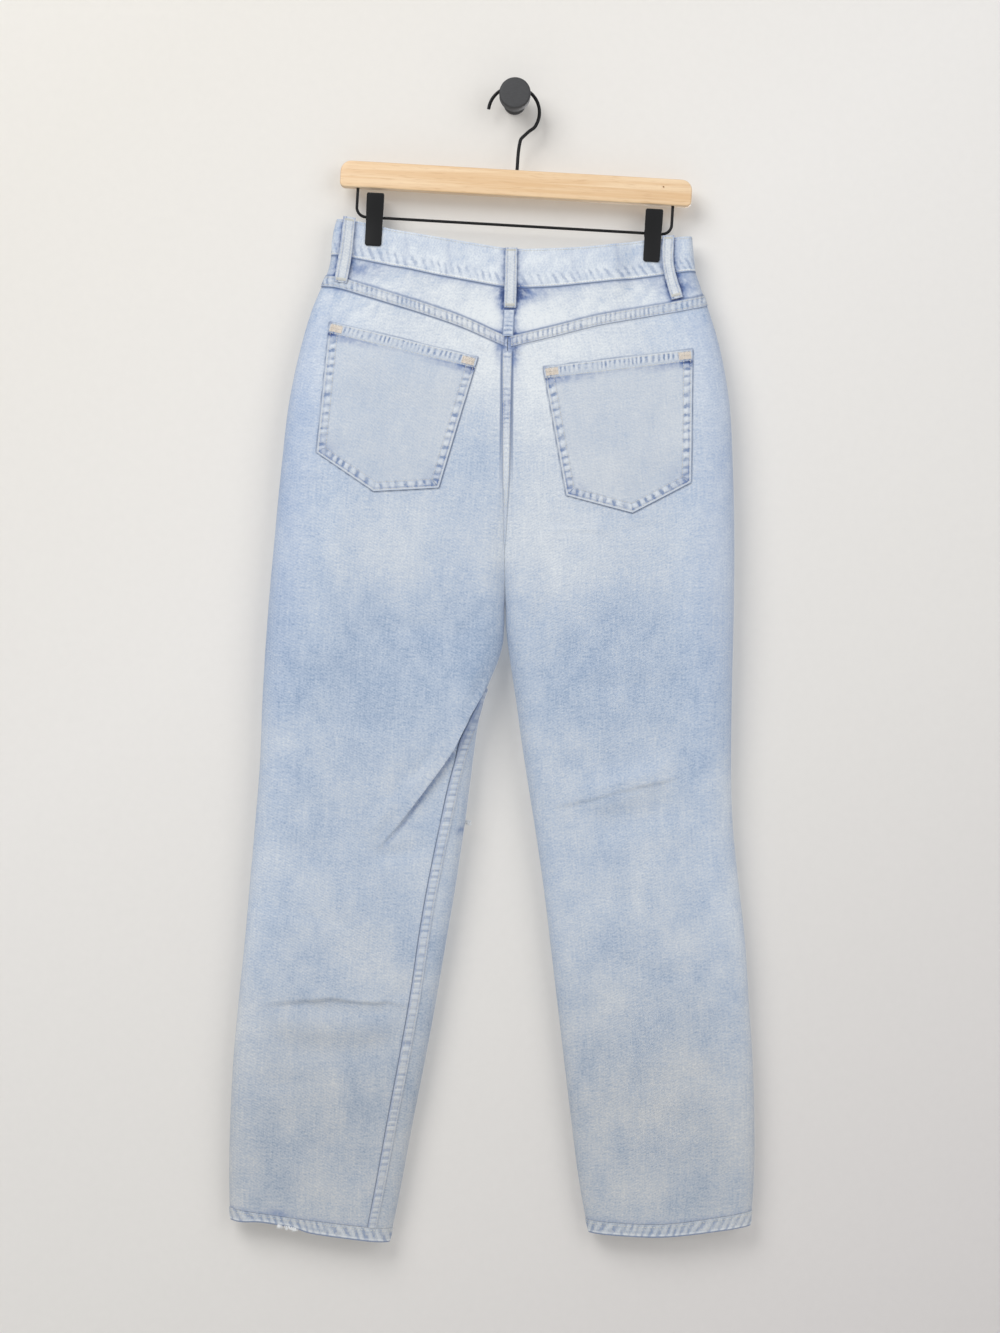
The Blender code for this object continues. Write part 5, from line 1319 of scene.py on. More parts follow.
def back_pocket(label):
    *corners, point_at = BACK_POCKETS[label]
    top_left, top_right, foot_right, point, foot_left = np.array(corners)
    columns = np.unique(np.append(np.linspace(0, 1, 96), point_at))
    to_point, past_point = columns / point_at, (columns - point_at) / (1 - point_at)
    left_part = foot_left + to_point[:, None] * (point - foot_left)
    right_part = point + past_point[:, None] * (foot_right - point)
    foot = np.where((columns <= point_at)[:, None], left_part, right_part)
    top = top_left + columns[:, None] * (top_right - top_left)
    grid = top + np.linspace(0, 1, 104)[:, None, None] * (foot - top)
    x, drop = grid[..., 0], grid[..., 1]
    under, thick, seam, off, off_top = pocket_heights(label, x, drop)
    side = -1 if label == "left" else 1
    wash = (0.51 if side < 0 else 0.56) + 0.05 * np.exp(-(((off - 4.5) / 5) ** 2)) + 0.08 * rumple(x, drop, 40, 21)
    # Dye is kept just under the hemmed top, most at its two ends, and in the foot's corners.
    to_corner = np.minimum(*[np.hypot(x - c[0], drop - c[1]) for c in (top_left, top_right)])
    low_corner = np.minimum(*[np.hypot(x - c[0], drop - c[1]) for c in (foot_left, foot_right)])
    dye_and_shade = 0.8 * np.exp(-(((off_top - 15.5) / 3.4) ** 2)) * np.exp(-((to_corner / 44) ** 2))
    dye_and_shade = dye_and_shade + 0.9 * groove(off_top, 12.2, 1.9) * np.exp(-((to_corner / 21) ** 4)) + 0.5 * groove(off_top, 1.7, 0.7) * np.exp(-((to_corner / 17) ** 4))
    dye_and_shade = dye_and_shade + 0.5 * np.exp(-((low_corner / 17) ** 2)) * step(off / 4)
    dye_and_shade = dye_and_shade + 0.75 * groove(off, 2.4, 0.8) + 0.3 * groove(off, INNER_ROW, 0.8) * step(off_top - 12)
    dye_and_shade = dye_and_shade + 0.45 * groove(off_top, BAND_ROW + 1.4, 0.8) + 0.3 * groove(off_top, 2.2, 0.6)
    turn = math.atan2(*(top_right - top_left)[::-1])
    uv = (x * math.cos(turn) + drop * math.sin(turn) + 40, drop * math.cos(turn) - x * math.sin(turn))
    blue = 0.2 * blue_at(side, x, drop) - 0.3
    lay(f"patch_pocket_{label}", f"back_pocket_{label}", "back", x, drop, under, thick, PATCH, wash, seam, blue, dye_and_shade, uv)


back_pocket("left")
back_pocket("right")

# %% [markdown]
# ## Felled seams
# Where two panels meet under strain, their edges are folded into each other and stitched twice. The
# yoke seam, the centre back seam and the inner leg seams are such laps: narrow raised strips that
# wear pale along the top and pucker closely.

# %% Felled seams


def yoke_lap(side, label, last):
    across = np.linspace(0.05, 0.985, 130)
    high = yoke_foot(side, across) + SEAM_GAP / 2
    down = np.linspace(0, 1, 10)[:, None]
    drop = high + down * LAP_WIDTH
    across = np.broadcast_to(across, drop.shape)
    near = LAP_WIDTH * np.minimum(down, 1 - down) + np.zeros(drop.shape)
    x = place(side, "back", across, drop)[..., 0]
    bump = 0.26 * pucker(x, near, 5.2) * step(near / 2) - 0.3 * groove(near, 1.7)
    outer = place(side, "back", across, drop, SEAM_GAP + LAP_CLOTH + 0.15 * step(near / 3) + bump)
    inner = place(side, "back", across, drop, SEAM_GAP)
    wash = wash_at("back", side, x, drop) + 0.02
    dye_and_shade = 0.45 * groove(near, 1.9, 0.8) + 0.5 * np.exp(-(((x - last) / 22) ** 2))
    keep(sew(f"yoke_fell_{label}", outer, inner, FELLED, (x, drop), wash, (x, near + 0.8, 0.85), -0.4, dye_and_shade), f"yoke_lap_{label}")


yoke_lap(-1, "left", -6)
yoke_lap(1, "right", -6)

CENTRE_LAP = (262, 390, 459), (5.2, 3.8, 1)
drop = np.linspace(262, 459, 96)
half_width = np.interp(drop, *CENTRE_LAP)
share = np.linspace(-1, 1, 11)[:, None]
x = CENTRE_X(drop) + share * half_width
drop = np.broadcast_to(drop, x.shape)
near = (1 - np.abs(share)) * half_width
dark_stretch = np.exp(-(((drop - 320) / 25) ** 2)) + 0.8 * np.exp(-(((drop - 262) / 12) ** 2))
thick = LAP_CLOTH + 0.15 * step(near / 3) + 0.2 * pucker(drop, near, 5.2) * step(near / 1.6) * (0.3 + dark_stretch)
seam = (drop, near + 0.4, 0.9 * np.minimum(dark_stretch, 1) + 0.12 * step((478 - drop) / 110))
dye_and_shade = 0.85 * dark_stretch * (1.15 - 0.9 * near / half_width)
wash = 0.74 - 0.22 * step((drop - 340) / 100)
lay("centre_fell", "centre_back_lap", "back", x, drop, SEAM_GAP, thick, FELLED, wash, seam, -0.2, dye_and_shade, (drop, x))

drop = np.linspace(219.5, 246.5, 16)
x = CENTRE_X(drop) + share * 5.6
drop = np.broadcast_to(drop, x.shape)
near = (1 - np.abs(share)) * 5.6 + np.zeros(x.shape)
outer, inner = on_face("back", x, drop, SEAM_GAP + LAP_CLOTH), on_face("back", x, drop, SEAM_GAP)
yoke_fell = sew("centre_fell_yoke", outer, inner, FELLED, (drop, x), 0.62, (drop, near + 0.4, 0.9), 0, 0.3)
finish_piece(yoke_fell, "denim")

across = np.linspace(0.955, 0.9993, 12)
first = np.full(across.shape, 606)
last = hem_drop(-1, "front", across, 1) - SEAM_GAP / 2
drop = first + np.linspace(0, 1, 214)[:, None] * (last - first)
across = np.broadcast_to(across, drop.shape)
near = 12.5 * np.minimum(np.linspace(0, 1, 12), np.linspace(1, 0, 12)) + np.zeros(drop.shape)
bump = 0.16 * pucker(drop, near, 7) * step(near / 2) - 0.3 * groove(near, 1.7)
outer = place(-1, "front", across, drop, SEAM_GAP + LAP_CLOTH + 0.2 * step(near / 3) + bump)
inner = place(-1, "front", across, drop, SEAM_GAP)
# The ditch is deep where the lap ends on the back panel, so its kept dye and painted shade are darkest there, and it
# hardly shows at its other edge.
shallow = step((0.5 - np.linspace(0, 1, 12)) / 0.3)
seam = (drop, near + 0.3 + 0.9 * shallow, 0.6)
# The top of the lap, down to a drop of about 690 mm, is darkened with painted shadow from the tuck that lies over it.
dye_and_shade = 0.6 * groove(near, 1.9, 0.9) * (1 - 0.3 * shallow) + 0.3 * step((690 - drop) / 45)
inseam = sew("inner_leg_fell", outer, inner, DENIM, (12.5 * across, drop), 0.5, seam, blue_at(-1, outer[..., 0], drop), dye_and_shade)
keep(inseam, "inseam_lap_left")

# %% [markdown]
# ## Belt loops
# A loop is a strip folded in three, stitched down both long edges and tacked at its ends. Washing
# wears it paler than the band it crosses.

# %% Belt loops


def loop_line(label):
    face, *centre, foot_lift = BELT_LOOPS[label]
    t = np.linspace(0, 1, 46)
    knots = [(share, *point) for share, point in zip((0, 0.5, 1), centre)]
    line = np.stack([smooth_column(knots, 1)(t), smooth_column(knots, 2)(t)], -1)
    way = np.gradient(line, axis=0)
    way /= np.linalg.norm(way, axis=-1, keepdims=True)
    sideways = np.stack([way[:, 1], -way[:, 0]], -1)
    top_lift = BAND_PROUD + 2 * SEAM_GAP
    lift = top_lift + (foot_lift - top_lift) * step((t - 0.75) / 0.25)
    return face, line, sideways, lift + LOOP_SLACK * np.sin(math.pi * t) ** 0.7


def belt_loop(label):
    face, line, sideways, lift = loop_line(label)
    share = np.linspace(-0.5, 0.5, 15)
    grid = line[:, None] + (share * LOOP_WIDTH)[None, :, None] * sideways[:, None]
    x, drop = grid[..., 0], grid[..., 1]
    along = np.broadcast_to(np.concatenate([[0], np.cumsum(np.linalg.norm(np.diff(line, axis=0), axis=1))])[:, None], x.shape)
    near = np.broadcast_to(LOOP_WIDTH * (0.5 - np.abs(share)), x.shape)
    thick = LOOP_CLOTH - 0.3 * groove(near, 1.7, 0.8) - 0.5 * step(1 - near / 1)
    ends = np.minimum(along, along.max() - along)
    thick = thick - 0.35 * step(1 - ends / 3)
    dye_and_shade = 0.75 * np.exp(-((near / 0.9) ** 2)) + 0.6 * groove(near, 2.6, 0.6) + 0.3 * step(1 - ends / 5)
    wash = 0.74 + 0.12 * rumple(x, drop, 9, 31)
    lay(f"loop_{label}", f"belt_loop_{label}", face, x, drop, lift[:, None], thick, DENIM, wash, (along, near + 1.2, 0.03), -0.35, dye_and_shade, (LOOP_WIDTH * share + 0 * x, along))


for label in BELT_LOOPS:
    belt_loop(label)

# %% [markdown]
# ## The hidden front
# The front shows in no photograph, so it is plain: scooped pocket mouths with a facing behind each,
# one small coin pocket, a fly with a metal zip and a shank button.

# %% Pocket facings, coin pocket and fly
for side, label, last in ((-1, "left", 0.52), (1, "right", 0.60)):
    across = np.linspace(0.006, last, 58)
    high = band_foot(side, "front", across) + SEAM_GAP
    low = pocket_mouth(side, across) + 14
    drop = high + np.linspace(0, 1, 34)[:, None] * (low - high)
    across = np.broadcast_to(across, drop.shape)
    outer = place(side, "front", across, drop, -CLOTH - SEAM_GAP)
    inner = place(side, "front", across, drop, -2 * CLOTH - SEAM_GAP)
    keep(sew(f"hip_facing_{label}", outer, inner, DENIM, (outer[..., 0], drop), 0.36, (0, 99, 0)), f"pocket_facing_{label}")

across = np.linspace(0.12, 0.40, 40)
high = band_foot(1, "front", across) + 15
low = pocket_mouth(1, across) - 0.8
drop = high + np.linspace(0, 1, 30)[:, None] * (low - high)
across = np.broadcast_to(across, drop.shape)
outer, inner = place(1, "front", across, drop, -0.2), place(1, "front", across, drop, -1.2)
keep(sew("small_coin_pocket", outer, inner, DENIM, (outer[..., 0], drop), 0.5, (outer[..., 0], drop - high + 0.5, 0.5)), "coin_pocket")

rows = np.linspace(0, 1, 62)[:, None]
columns = np.linspace(0, 1, 26)
drop = 209.6 + rows * (352 - 209.6)
width = np.maximum(36 * np.sqrt(1 - np.clip((rows - 0.62) / 0.40, 0, 1) ** 2), 8)
x = CENTRE_X(drop) + 6 - 3 * rows - width * columns
drop = np.broadcast_to(drop, x.shape)
lay("fly_front", "fly_flap", "front", x, drop, SEAM_GAP, CLOTH, DENIM, 0.55, (drop, width * columns + 0.4, 0.5))

# %% [markdown]
# ## Brass and copper on the front
# The waist button is a two part shank button pressed from thin sheet. Its face is turned here from
# a short profile, with a rolled rim and one raised ring. The zip has a woven tape, teeth clamped on
# it every 2 mm, and a slider, all behind the fly.

# %% Turned shapes


def turned(name, profile, segments, finish, at=(0, 0, 0), angle=32):
    """A solid of revolution about Y from (radius, y) points in millimetres, ends on the axis."""
    shell = bmesh.new()
    points = [shell.verts.new((r * MM, y * MM, 0)) for r, y in profile]
    edges = [shell.edges.new(pair) for pair in zip(points, points[1:])]
    bmesh.ops.spin(shell, geom=points + edges, cent=(0, 0, 0), axis=(0, 1, 0), steps=segments, angle=2 * math.pi)
    bmesh.ops.remove_doubles(shell, verts=shell.verts, dist=1e-6)
    bmesh.ops.recalc_face_normals(shell, faces=shell.faces)
    bmesh.ops.translate(shell, verts=shell.verts, vec=[v * MM for v in at])
    return from_shell(name, shell, finish, angle)


def worn_metal(name, colour, bright, roughness):
    """A metal with its age as a fine mottle, 3 mm across, of duller and brighter places."""
    made, tree, shader = new_material(name)
    where = add(tree, "ShaderNodeTexCoord").outputs["Object"]
    spots = add(tree, "ShaderNodeTexNoise", {"Vector": where, "Scale": 330, "Detail": 3}).outputs[0]
    tone = add(tree, "ShaderNodeMix", {0: spots, 6: rgba(colour), 7: rgba(bright)}, data_type="RGBA").outputs[2]
    tree.links.new(tone, shader.inputs["Base Color"])
    rough = add(tree, "ShaderNodeMapRange", {0: spots, 3: roughness - 0.1, 4: roughness + 0.12}).outputs[0]
    tree.links.new(rough, shader.inputs["Roughness"])
    bump = add(tree, "ShaderNodeBump", {"Height": spots, "Strength": 0.15, "Distance": 0.0002}).outputs[0]
    tree.links.new(bump, shader.inputs["Normal"])
    shader.inputs["Metallic"].default_value = 1
    return made


COPPER = worn_metal("aged copper, pressed", "#8A5A40", "#C48C68", 0.38)
BRASS = worn_metal("aged brass, stamped", "#8C7038", "#C4A664", 0.36)

# %% Button, zip tape and slider
on_lap = BAND_PROUD + BAND_CLOTH + BAND_LAP_GAP + SEAM_GAP
seat = on_face("front", CENTRE_X(190) + 9, 190, on_lap)
profile = [(0, 0), (3.6, 0), (3.9, 0.4), (3.9, 1.5), (7.4, 1.9), (8.3, 2.4), (8.5, 3.2), (8.2, 4)]
profile += [(7.4, 4.4), (6.6, 4.1), (6, 4.2), (5.2, 4.9), (3.4, 5), (2.8, 4.7), (2.2, 5), (0, 5.2)]
keep(turned("shank_button", profile, 48, COPPER, seat), "waist_button", "copper")

tape_cloth, tree, shader = new_material("woven cotton zip tape")
weave_uv = add(tree, "ShaderNodeUVMap", uv_map="cloth").outputs[0]
# Herringbone ribs 1.6 mm wide along the tape.
ribs = add(tree, "ShaderNodeTexWave", {"Vector": weave_uv, "Scale": 100, "Distortion": 1}, wave_profile="TRI").outputs[1]
tone = add(tree, "ShaderNodeMix", {0: ribs, 6: rgba("#8C9AAC"), 7: rgba("#B4BFCB")}, data_type="RGBA").outputs[2]
tree.links.new(tone, shader.inputs["Base Color"])
tree.links.new(add(tree, "ShaderNodeBump", {"Height": ribs, "Strength": 0.4, "Distance": 0.0003}).outputs[0], shader.inputs["Normal"])
shader.inputs["Roughness"].default_value = 0.85

behind_fly = -CLOTH - SEAM_GAP - 0.7
drop = np.linspace(214, 340, 60)[:, None]
x = CENTRE_X(drop) + np.linspace(-12, 12, 9)
drop = np.broadcast_to(drop, x.shape)
outer, inner = on_face("front", x, drop, behind_fly + 0.7), on_face("front", x, drop, behind_fly)
tape = keep(sew("zip_tape_cloth", outer, inner, tape_cloth, (x, drop), 0, (0, 99, 0)), "zip_tape", "zip_tape")
bpy.data.objects["zip_slider"].data.materials.clear()
bpy.data.objects["zip_slider"].data.materials.append(BRASS)

# %% [markdown]
# ## The hanger
# The hanger is modelled upright in its own frame, as it would be made, and every point is then
# turned by the 3.3 degrees at which it hangs. The bar is a beech lath with eased edges, drilled for
# the hook and for the ends of the clip rail.

# %% Hung points and turned bars
HOOK_RADIUS, HOOK_WIRE, RAIL_WIRE = 26.2, 1.75, 1.5
BAR_LENGTH, BAR_HEIGHT, BAR_THICK = 361, 27, 12
RAIL_HALF, RAIL_Z, RAIL_CORNER = 162, -116.2, 10
HOLE_ROOM = 0.35


def hung(points):
    """World places in millimetres of points given in the hanger's own upright frame."""
    points = np.asarray(points, float)
    x, drop = hanger_to_world(points[..., 0], points[..., 2])
    return np.stack([x, points[..., 1] + HOOK_CENTRE[1], -drop], -1)


def move_hung(shell):
    for vert in shell.verts:
        vert.co = [float(v) * MM for v in hung(vert.co[:])]


def rod(name, start, end, radius, segments):
    """A plain rod between two points of the hanger's frame, used to drill."""
    shell = bmesh.new()
    start, end = Vector(start), Vector(end)
    turn = (end - start).to_track_quat("Z", "Y").to_matrix().to_4x4()
    turn.translation = (start + end) / 2
    long = (end - start).length
    bmesh.ops.create_cone(shell, cap_ends=True, segments=segments, radius1=radius, radius2=radius, depth=long, matrix=turn)
    move_hung(shell)
    return from_shell(name, shell, BRASS)

# %% [markdown]
# Beech has fine straight grain, short darker flecks and a faint sheen under its clear finish. The
# grain runs along the bar. Growth bands are 3 to 5 mm wide, and the flecks 0.5 mm by 4 mm, drawn
# twice that size so that they show.

# %% Beech
BEECH, tree, shader = new_material("beech, clear satin finish")
where = add(tree, "ShaderNodeTexCoord").outputs["Object"]
level = add(tree, "ShaderNodeMapping", {"Vector": where, "Rotation": (0, -HANGER_TILT, 0)}).outputs[0]
stretched = add(tree, "ShaderNodeMapping", {"Vector": level, "Scale": (5, 60, 210)}).outputs[0]
bands = add(tree, "ShaderNodeTexNoise", {"Vector": stretched, "Scale": 1, "Detail": 3, "Roughness": 0.55, "Distortion": 0.6}).outputs[0]
fine = add(tree, "ShaderNodeMapping", {"Vector": level, "Scale": (60, 600, 900)}).outputs[0]
flecks = add(tree, "ShaderNodeTexNoise", {"Vector": fine, "Scale": 1, "Detail": 2}).outputs[0]
tones = add(tree, "ShaderNodeValToRGB", {0: bands})
tones.color_ramp.elements[0].position, tones.color_ramp.elements[0].color = 0.3, rgba("#E0BA8C")
tones.color_ramp.elements[1].position, tones.color_ramp.elements[1].color = 0.7, rgba("#F0D4AE")
share = add(tree, "ShaderNodeMapRange", {0: flecks, 1: 0.56, 2: 0.74, 3: 0, 4: 0.45}).outputs[0]
tone = add(tree, "ShaderNodeMix", {0: share, 6: tones.outputs[0], 7: rgba("#C99E70")}, data_type="RGBA").outputs[2]
tree.links.new(tone, shader.inputs["Base Color"])
tree.links.new(add(tree, "ShaderNodeBump", {"Height": flecks, "Strength": 0.12, "Distance": 0.0003}).outputs[0], shader.inputs["Normal"])
shader.inputs["Roughness"].default_value = 0.42
shader.inputs["Coat Weight"].default_value = 0.15
shader.inputs["Coat Roughness"].default_value = 0.3
print(BEECH.name)

# %% The wooden bar
outline = []
for quarter, (sx, sz, radius) in enumerate([(1, 1, 11), (-1, 1, 11), (-1, -1, 5), (1, -1, 5)]):
    for i in range(13):
        angle = math.radians(90 * quarter + 7.5 * i)
        x = BAR_MIDDLE_X + sx * (BAR_LENGTH / 2 - radius) + radius * math.cos(angle)
        outline.append((x, BAR_MIDDLE_Z + sz * (BAR_HEIGHT / 2 - radius) + radius * math.sin(angle)))
shell = bmesh.new()
face = shell.faces.new([shell.verts.new((x, -BAR_THICK / 2, z)) for x, z in outline])
grown = bmesh.ops.extrude_face_region(shell, geom=[face])["geom"]
bmesh.ops.translate(shell, verts=[v for v in grown if isinstance(v, bmesh.types.BMVert)], vec=(0, BAR_THICK, 0))
bmesh.ops.recalc_face_normals(shell, faces=shell.faces)
rims = [e for e in shell.edges if abs(e.verts[0].co.y - e.verts[1].co.y) < 0.01]
bmesh.ops.bevel(shell, geom=rims, offset=1.6, segments=4, profile=0.5, affect="EDGES")
move_hung(shell)
bar = from_shell("beech_bar", shell, BEECH)
top, foot = BAR_MIDDLE_Z + BAR_HEIGHT / 2 + 4, BAR_MIDDLE_Z - BAR_HEIGHT / 2 - 4
x = BAR_MIDDLE_X + 0.05
drills = [rod("hook_drill", (x, 0, BAR_MIDDLE_Z + 0.4), (x, 0, top), HOOK_WIRE + HOLE_ROOM, 32)]
for side in (-1, 1):
    x = BAR_MIDDLE_X + side * RAIL_HALF
    drills.append(rod(f"rail_drill_{side}", (x, 0, foot), (x, 0, BAR_MIDDLE_Z - 2.4), RAIL_WIRE + HOLE_ROOM, 32))
# The small pin hole near the right end.
drills.append(rod("pin_drill", (157.5, -7, -69), (157.5, -4, -69), 1, 16))
keep(drilled(bar, drills), "hanger_bar", "beech")

# %% [markdown]
# ## Wires and thread from Geometry Nodes
# Wire, spring and sewing thread are all one thing to Blender: a round section that follows a path.
# One node tree makes them from a mesh of bare edges, with its radius and number of sides as inputs.

# %% A tree for what is round along a path


def begin_tree(name, inputs):
    tree = bpy.data.node_groups.new(name, "GeometryNodeTree")
    tree.interface.new_socket("Path", in_out="INPUT", socket_type="NodeSocketGeometry")
    for label, kind in inputs:
        tree.interface.new_socket(label, in_out="INPUT", socket_type=kind)
    tree.interface.new_socket("Made", in_out="OUTPUT", socket_type="NodeSocketGeometry")
    return tree, tree.nodes.new("NodeGroupInput")


def end_tree(tree, made, given):
    """Realize, smooth and give the finish, as the export needs plain geometry."""
    real = add(tree, "GeometryNodeRealizeInstances", {"Geometry": made})
    smooth = add(tree, "GeometryNodeSetShadeSmooth", {"Geometry": real.outputs[0]})
    finish = add(tree, "GeometryNodeSetMaterial", {"Geometry": smooth.outputs[0], "Material": given.outputs["Finish"]})
    out = tree.nodes.new("NodeGroupOutput")
    tree.links.new(finish.outputs[0], out.inputs[0])
    return tree


inputs = [("Radius", "NodeSocketFloat"), ("Sides", "NodeSocketInt"), ("Finish", "NodeSocketMaterial")]
tree, given = begin_tree("round along a path", inputs)
path = add(tree, "GeometryNodeMeshToCurve", {"Mesh": given.outputs["Path"]})
section = add(tree, "GeometryNodeCurvePrimitiveCircle", {"Resolution": given.outputs["Sides"], "Radius": given.outputs["Radius"]})
tube = add(tree, "GeometryNodeCurveToMesh", {"Curve": path.outputs[0], "Profile Curve": section.outputs[0], "Fill Caps": True})
ROUND = end_tree(tree, tube.outputs[0], given)


def grow(name, lines, tree, finish, **values):
    """Runs a tree on paths given in millimetres and returns the result as a plain mesh object."""
    points, edges = [], []
    for line in lines:
        edges += [(len(points) + i, len(points) + i + 1) for i in range(len(line) - 1)]
        points += (np.asarray(line) * MM).tolist()
    mesh = bpy.data.meshes.new(name)
    mesh.from_pydata(points, edges, [])
    made = bpy.data.objects.new(name, mesh)
    bpy.context.scene.collection.objects.link(made)
    nodes = made.modifiers.new("grow", "NODES")
    nodes.node_group = tree
    by_name = {s.name: s.identifier for s in tree.interface.items_tree if s.in_out == "INPUT"}
    for label, value in {"Finish": finish, **values}.items():
        nodes[by_name[label]] = value
    return settle(made)


print("inputs:", [s.name for s in ROUND.interface.items_tree])

# %% Black steel
BLACK_STEEL, tree, shader = new_material("steel, black powder coat")
where = add(tree, "ShaderNodeTexCoord").outputs["Object"]
# Powder coat dries to a fine orange peel about 1 mm across.
peel = add(tree, "ShaderNodeTexNoise", {"Vector": where, "Scale": 900, "Detail": 1}).outputs[0]
tree.links.new(add(tree, "ShaderNodeBump", {"Height": peel, "Strength": 0.25, "Distance": 0.0002}).outputs[0], shader.inputs["Normal"])
tone = add(tree, "ShaderNodeMix", {0: peel, 6: rgba("#0A0A0B"), 7: rgba("#111112")}, data_type="RGBA").outputs[2]
tree.links.new(tone, shader.inputs["Base Color"])
shader.inputs["Roughness"].default_value = 0.5
shader.inputs["Specular IOR Level"].default_value = 0.28
print(BLACK_STEEL.name)

# %% Hook and clip rail


def smooth_path(points, count):
    """A denser path through the same points."""
    points = np.asarray(points, float)
    along = np.concatenate([[0], np.cumsum(np.linalg.norm(np.diff(points, axis=0), axis=1))])
    table = np.column_stack([along, points])
    at = np.linspace(0, along[-1], count)
    return np.stack([smooth_column(table, k)(at) for k in range(1, points.shape[1] + 1)], -1)


def in_plane(path, y=0):
    path = np.asarray(path, float)
    return hung(np.stack([path[:, 0], np.full(len(path), y), path[:, 1]], -1))


arc = [math.radians(a) for a in range(176, -33, -8)]
hook = [(HOOK_RADIUS * math.cos(a), HOOK_RADIUS * math.sin(a)) for a in arc]
hook += [(16.5, -18.8), (11.6, -23.8), (9.4, -26.2), (8.4, -28), (8, -30.2)]
hook += [(6.6, BAR_MIDDLE_Z + BAR_HEIGHT / 2), (BAR_MIDDLE_X, BAR_MIDDLE_Z + 1)]
keep(grow("hook_wire", [in_plane(smooth_path(hook, 150))], ROUND, BLACK_STEEL, Radius=HOOK_WIRE * MM, Sides=16), "hanger_hook", "black_steel")

rail = [(-RAIL_HALF, BAR_MIDDLE_Z - 3)]
for centre_x, start in ((-RAIL_HALF + RAIL_CORNER, 180), (RAIL_HALF - RAIL_CORNER, 270)):
    for i in range(19):
        angle = math.radians(start + 5 * i)
        rail.append((centre_x + RAIL_CORNER * math.cos(angle), RAIL_Z + RAIL_CORNER + RAIL_CORNER * math.sin(angle)))
rail.append((RAIL_HALF, BAR_MIDDLE_Z - 3))
rail = [(BAR_MIDDLE_X + x, z) for x, z in rail]
keep(grow("rail_wire", [in_plane(rail)], ROUND, BLACK_STEEL, Radius=RAIL_WIRE * MM, Sides=16), "clip_rail", "black_steel")

# %% [markdown]
# ## Clips
# Each clip is a pair of pressed plates on the rail. The front one has two ears bent in round the
# rail, and a spring wound close on the rail pushes the jaws shut on the waistband.

# %% Clips
CLIP_PLATE, EAR_THICK, SPRING_RADIUS, SPRING_HALF = 1.6, 1.2, 3.3, 5.5
CLIP_JAW = [
    # distance of the plate's middle from the hanging plane, z, width
    (4.1, CLIP_TIP_Z, 13.2),
    (4.1, CLIP_TIP_Z + 0.7, 15.6),
    (4.1, CLIP_TIP_Z + 2.2, 17),
    (4.1, -129, 17),
    (5.6, RAIL_Z, 17.4),
    (6.8, -108, 18),
    (9.1, CLIP_TOP_Z - 1.8, 18),
    (9.3, CLIP_TOP_Z - 0.5, 17),
    (9.4, CLIP_TOP_Z, 15),
]
EAR_OUTLINE = [(-5.6, -4.5), (-6.2, 4.5), (1, 3.4), (3.4, 1.4), (3.4, -1.4), (1, -3.4)]


def jaw_plate(name, centre_x, facing, narrower):
    """A bent plate with eased edges. facing is -1 for the jaw that shows."""
    rows = np.array(CLIP_JAW)
    way = np.gradient(rows[:, :2], axis=0)
    way /= np.linalg.norm(way, axis=-1, keepdims=True)
    shell = bmesh.new()
    rings = []
    for (middle, z, width), (along_y, along_z) in zip(rows, way):
        ring = []
        for side, offset in ((-1, 0.5), (1, 0.5), (1, -0.5), (-1, -0.5)):
            y = facing * (middle + along_z * offset * CLIP_PLATE)
            x = centre_x + side * (width - narrower) / 2
            ring.append(shell.verts.new((x, y, z - along_y * offset * CLIP_PLATE)))
        rings.append(ring)
    for low, high in zip(rings, rings[1:]):
        for i in range(4):
            shell.faces.new((low[i], low[(i + 1) % 4], high[(i + 1) % 4], high[i]))
    shell.faces.new(rings[0])
    shell.faces.new(rings[-1][::-1])
    bmesh.ops.recalc_face_normals(shell, faces=shell.faces)
    edges = [e for e in shell.edges if not e.is_contiguous or e.calc_face_angle(0) > 0.6]
    bmesh.ops.bevel(shell, geom=edges, offset=0.45, segments=3, profile=0.5, affect="EDGES", clamp_overlap=True)
    move_hung(shell)
    return from_shell(name, shell, BLACK_STEEL)


def ear(name, centre_x, side):
    edge = centre_x + side * 8.7
    shell = bmesh.new()
    ends = [[shell.verts.new((x, y, RAIL_Z + z)) for y, z in EAR_OUTLINE] for x in (edge, edge - side * EAR_THICK)]
    shell.faces.new(ends[0])
    shell.faces.new(ends[1][::-1])
    for i in range(6):
        j = (i + 1) % 6
        shell.faces.new((ends[0][i], ends[0][j], ends[1][j], ends[1][i]))
    bmesh.ops.recalc_face_normals(shell, faces=shell.faces)
    move_hung(shell)
    return from_shell(name, shell, BLACK_STEEL)


def coil(centre_x):
    """A helix round the rail, its turns side by side."""
    wire_radius = 0.55
    turns = SPRING_HALF * 2 / (2 * wire_radius + 0.12)
    t = np.linspace(0, 1, int(turns * 18))
    angle = 2 * math.pi * turns * t
    middle = SPRING_RADIUS - wire_radius
    helix = np.stack([centre_x - SPRING_HALF + wire_radius + t * 2 * (SPRING_HALF - wire_radius), middle * np.cos(angle), RAIL_Z + middle * np.sin(angle)], -1)
    return hung(helix), wire_radius


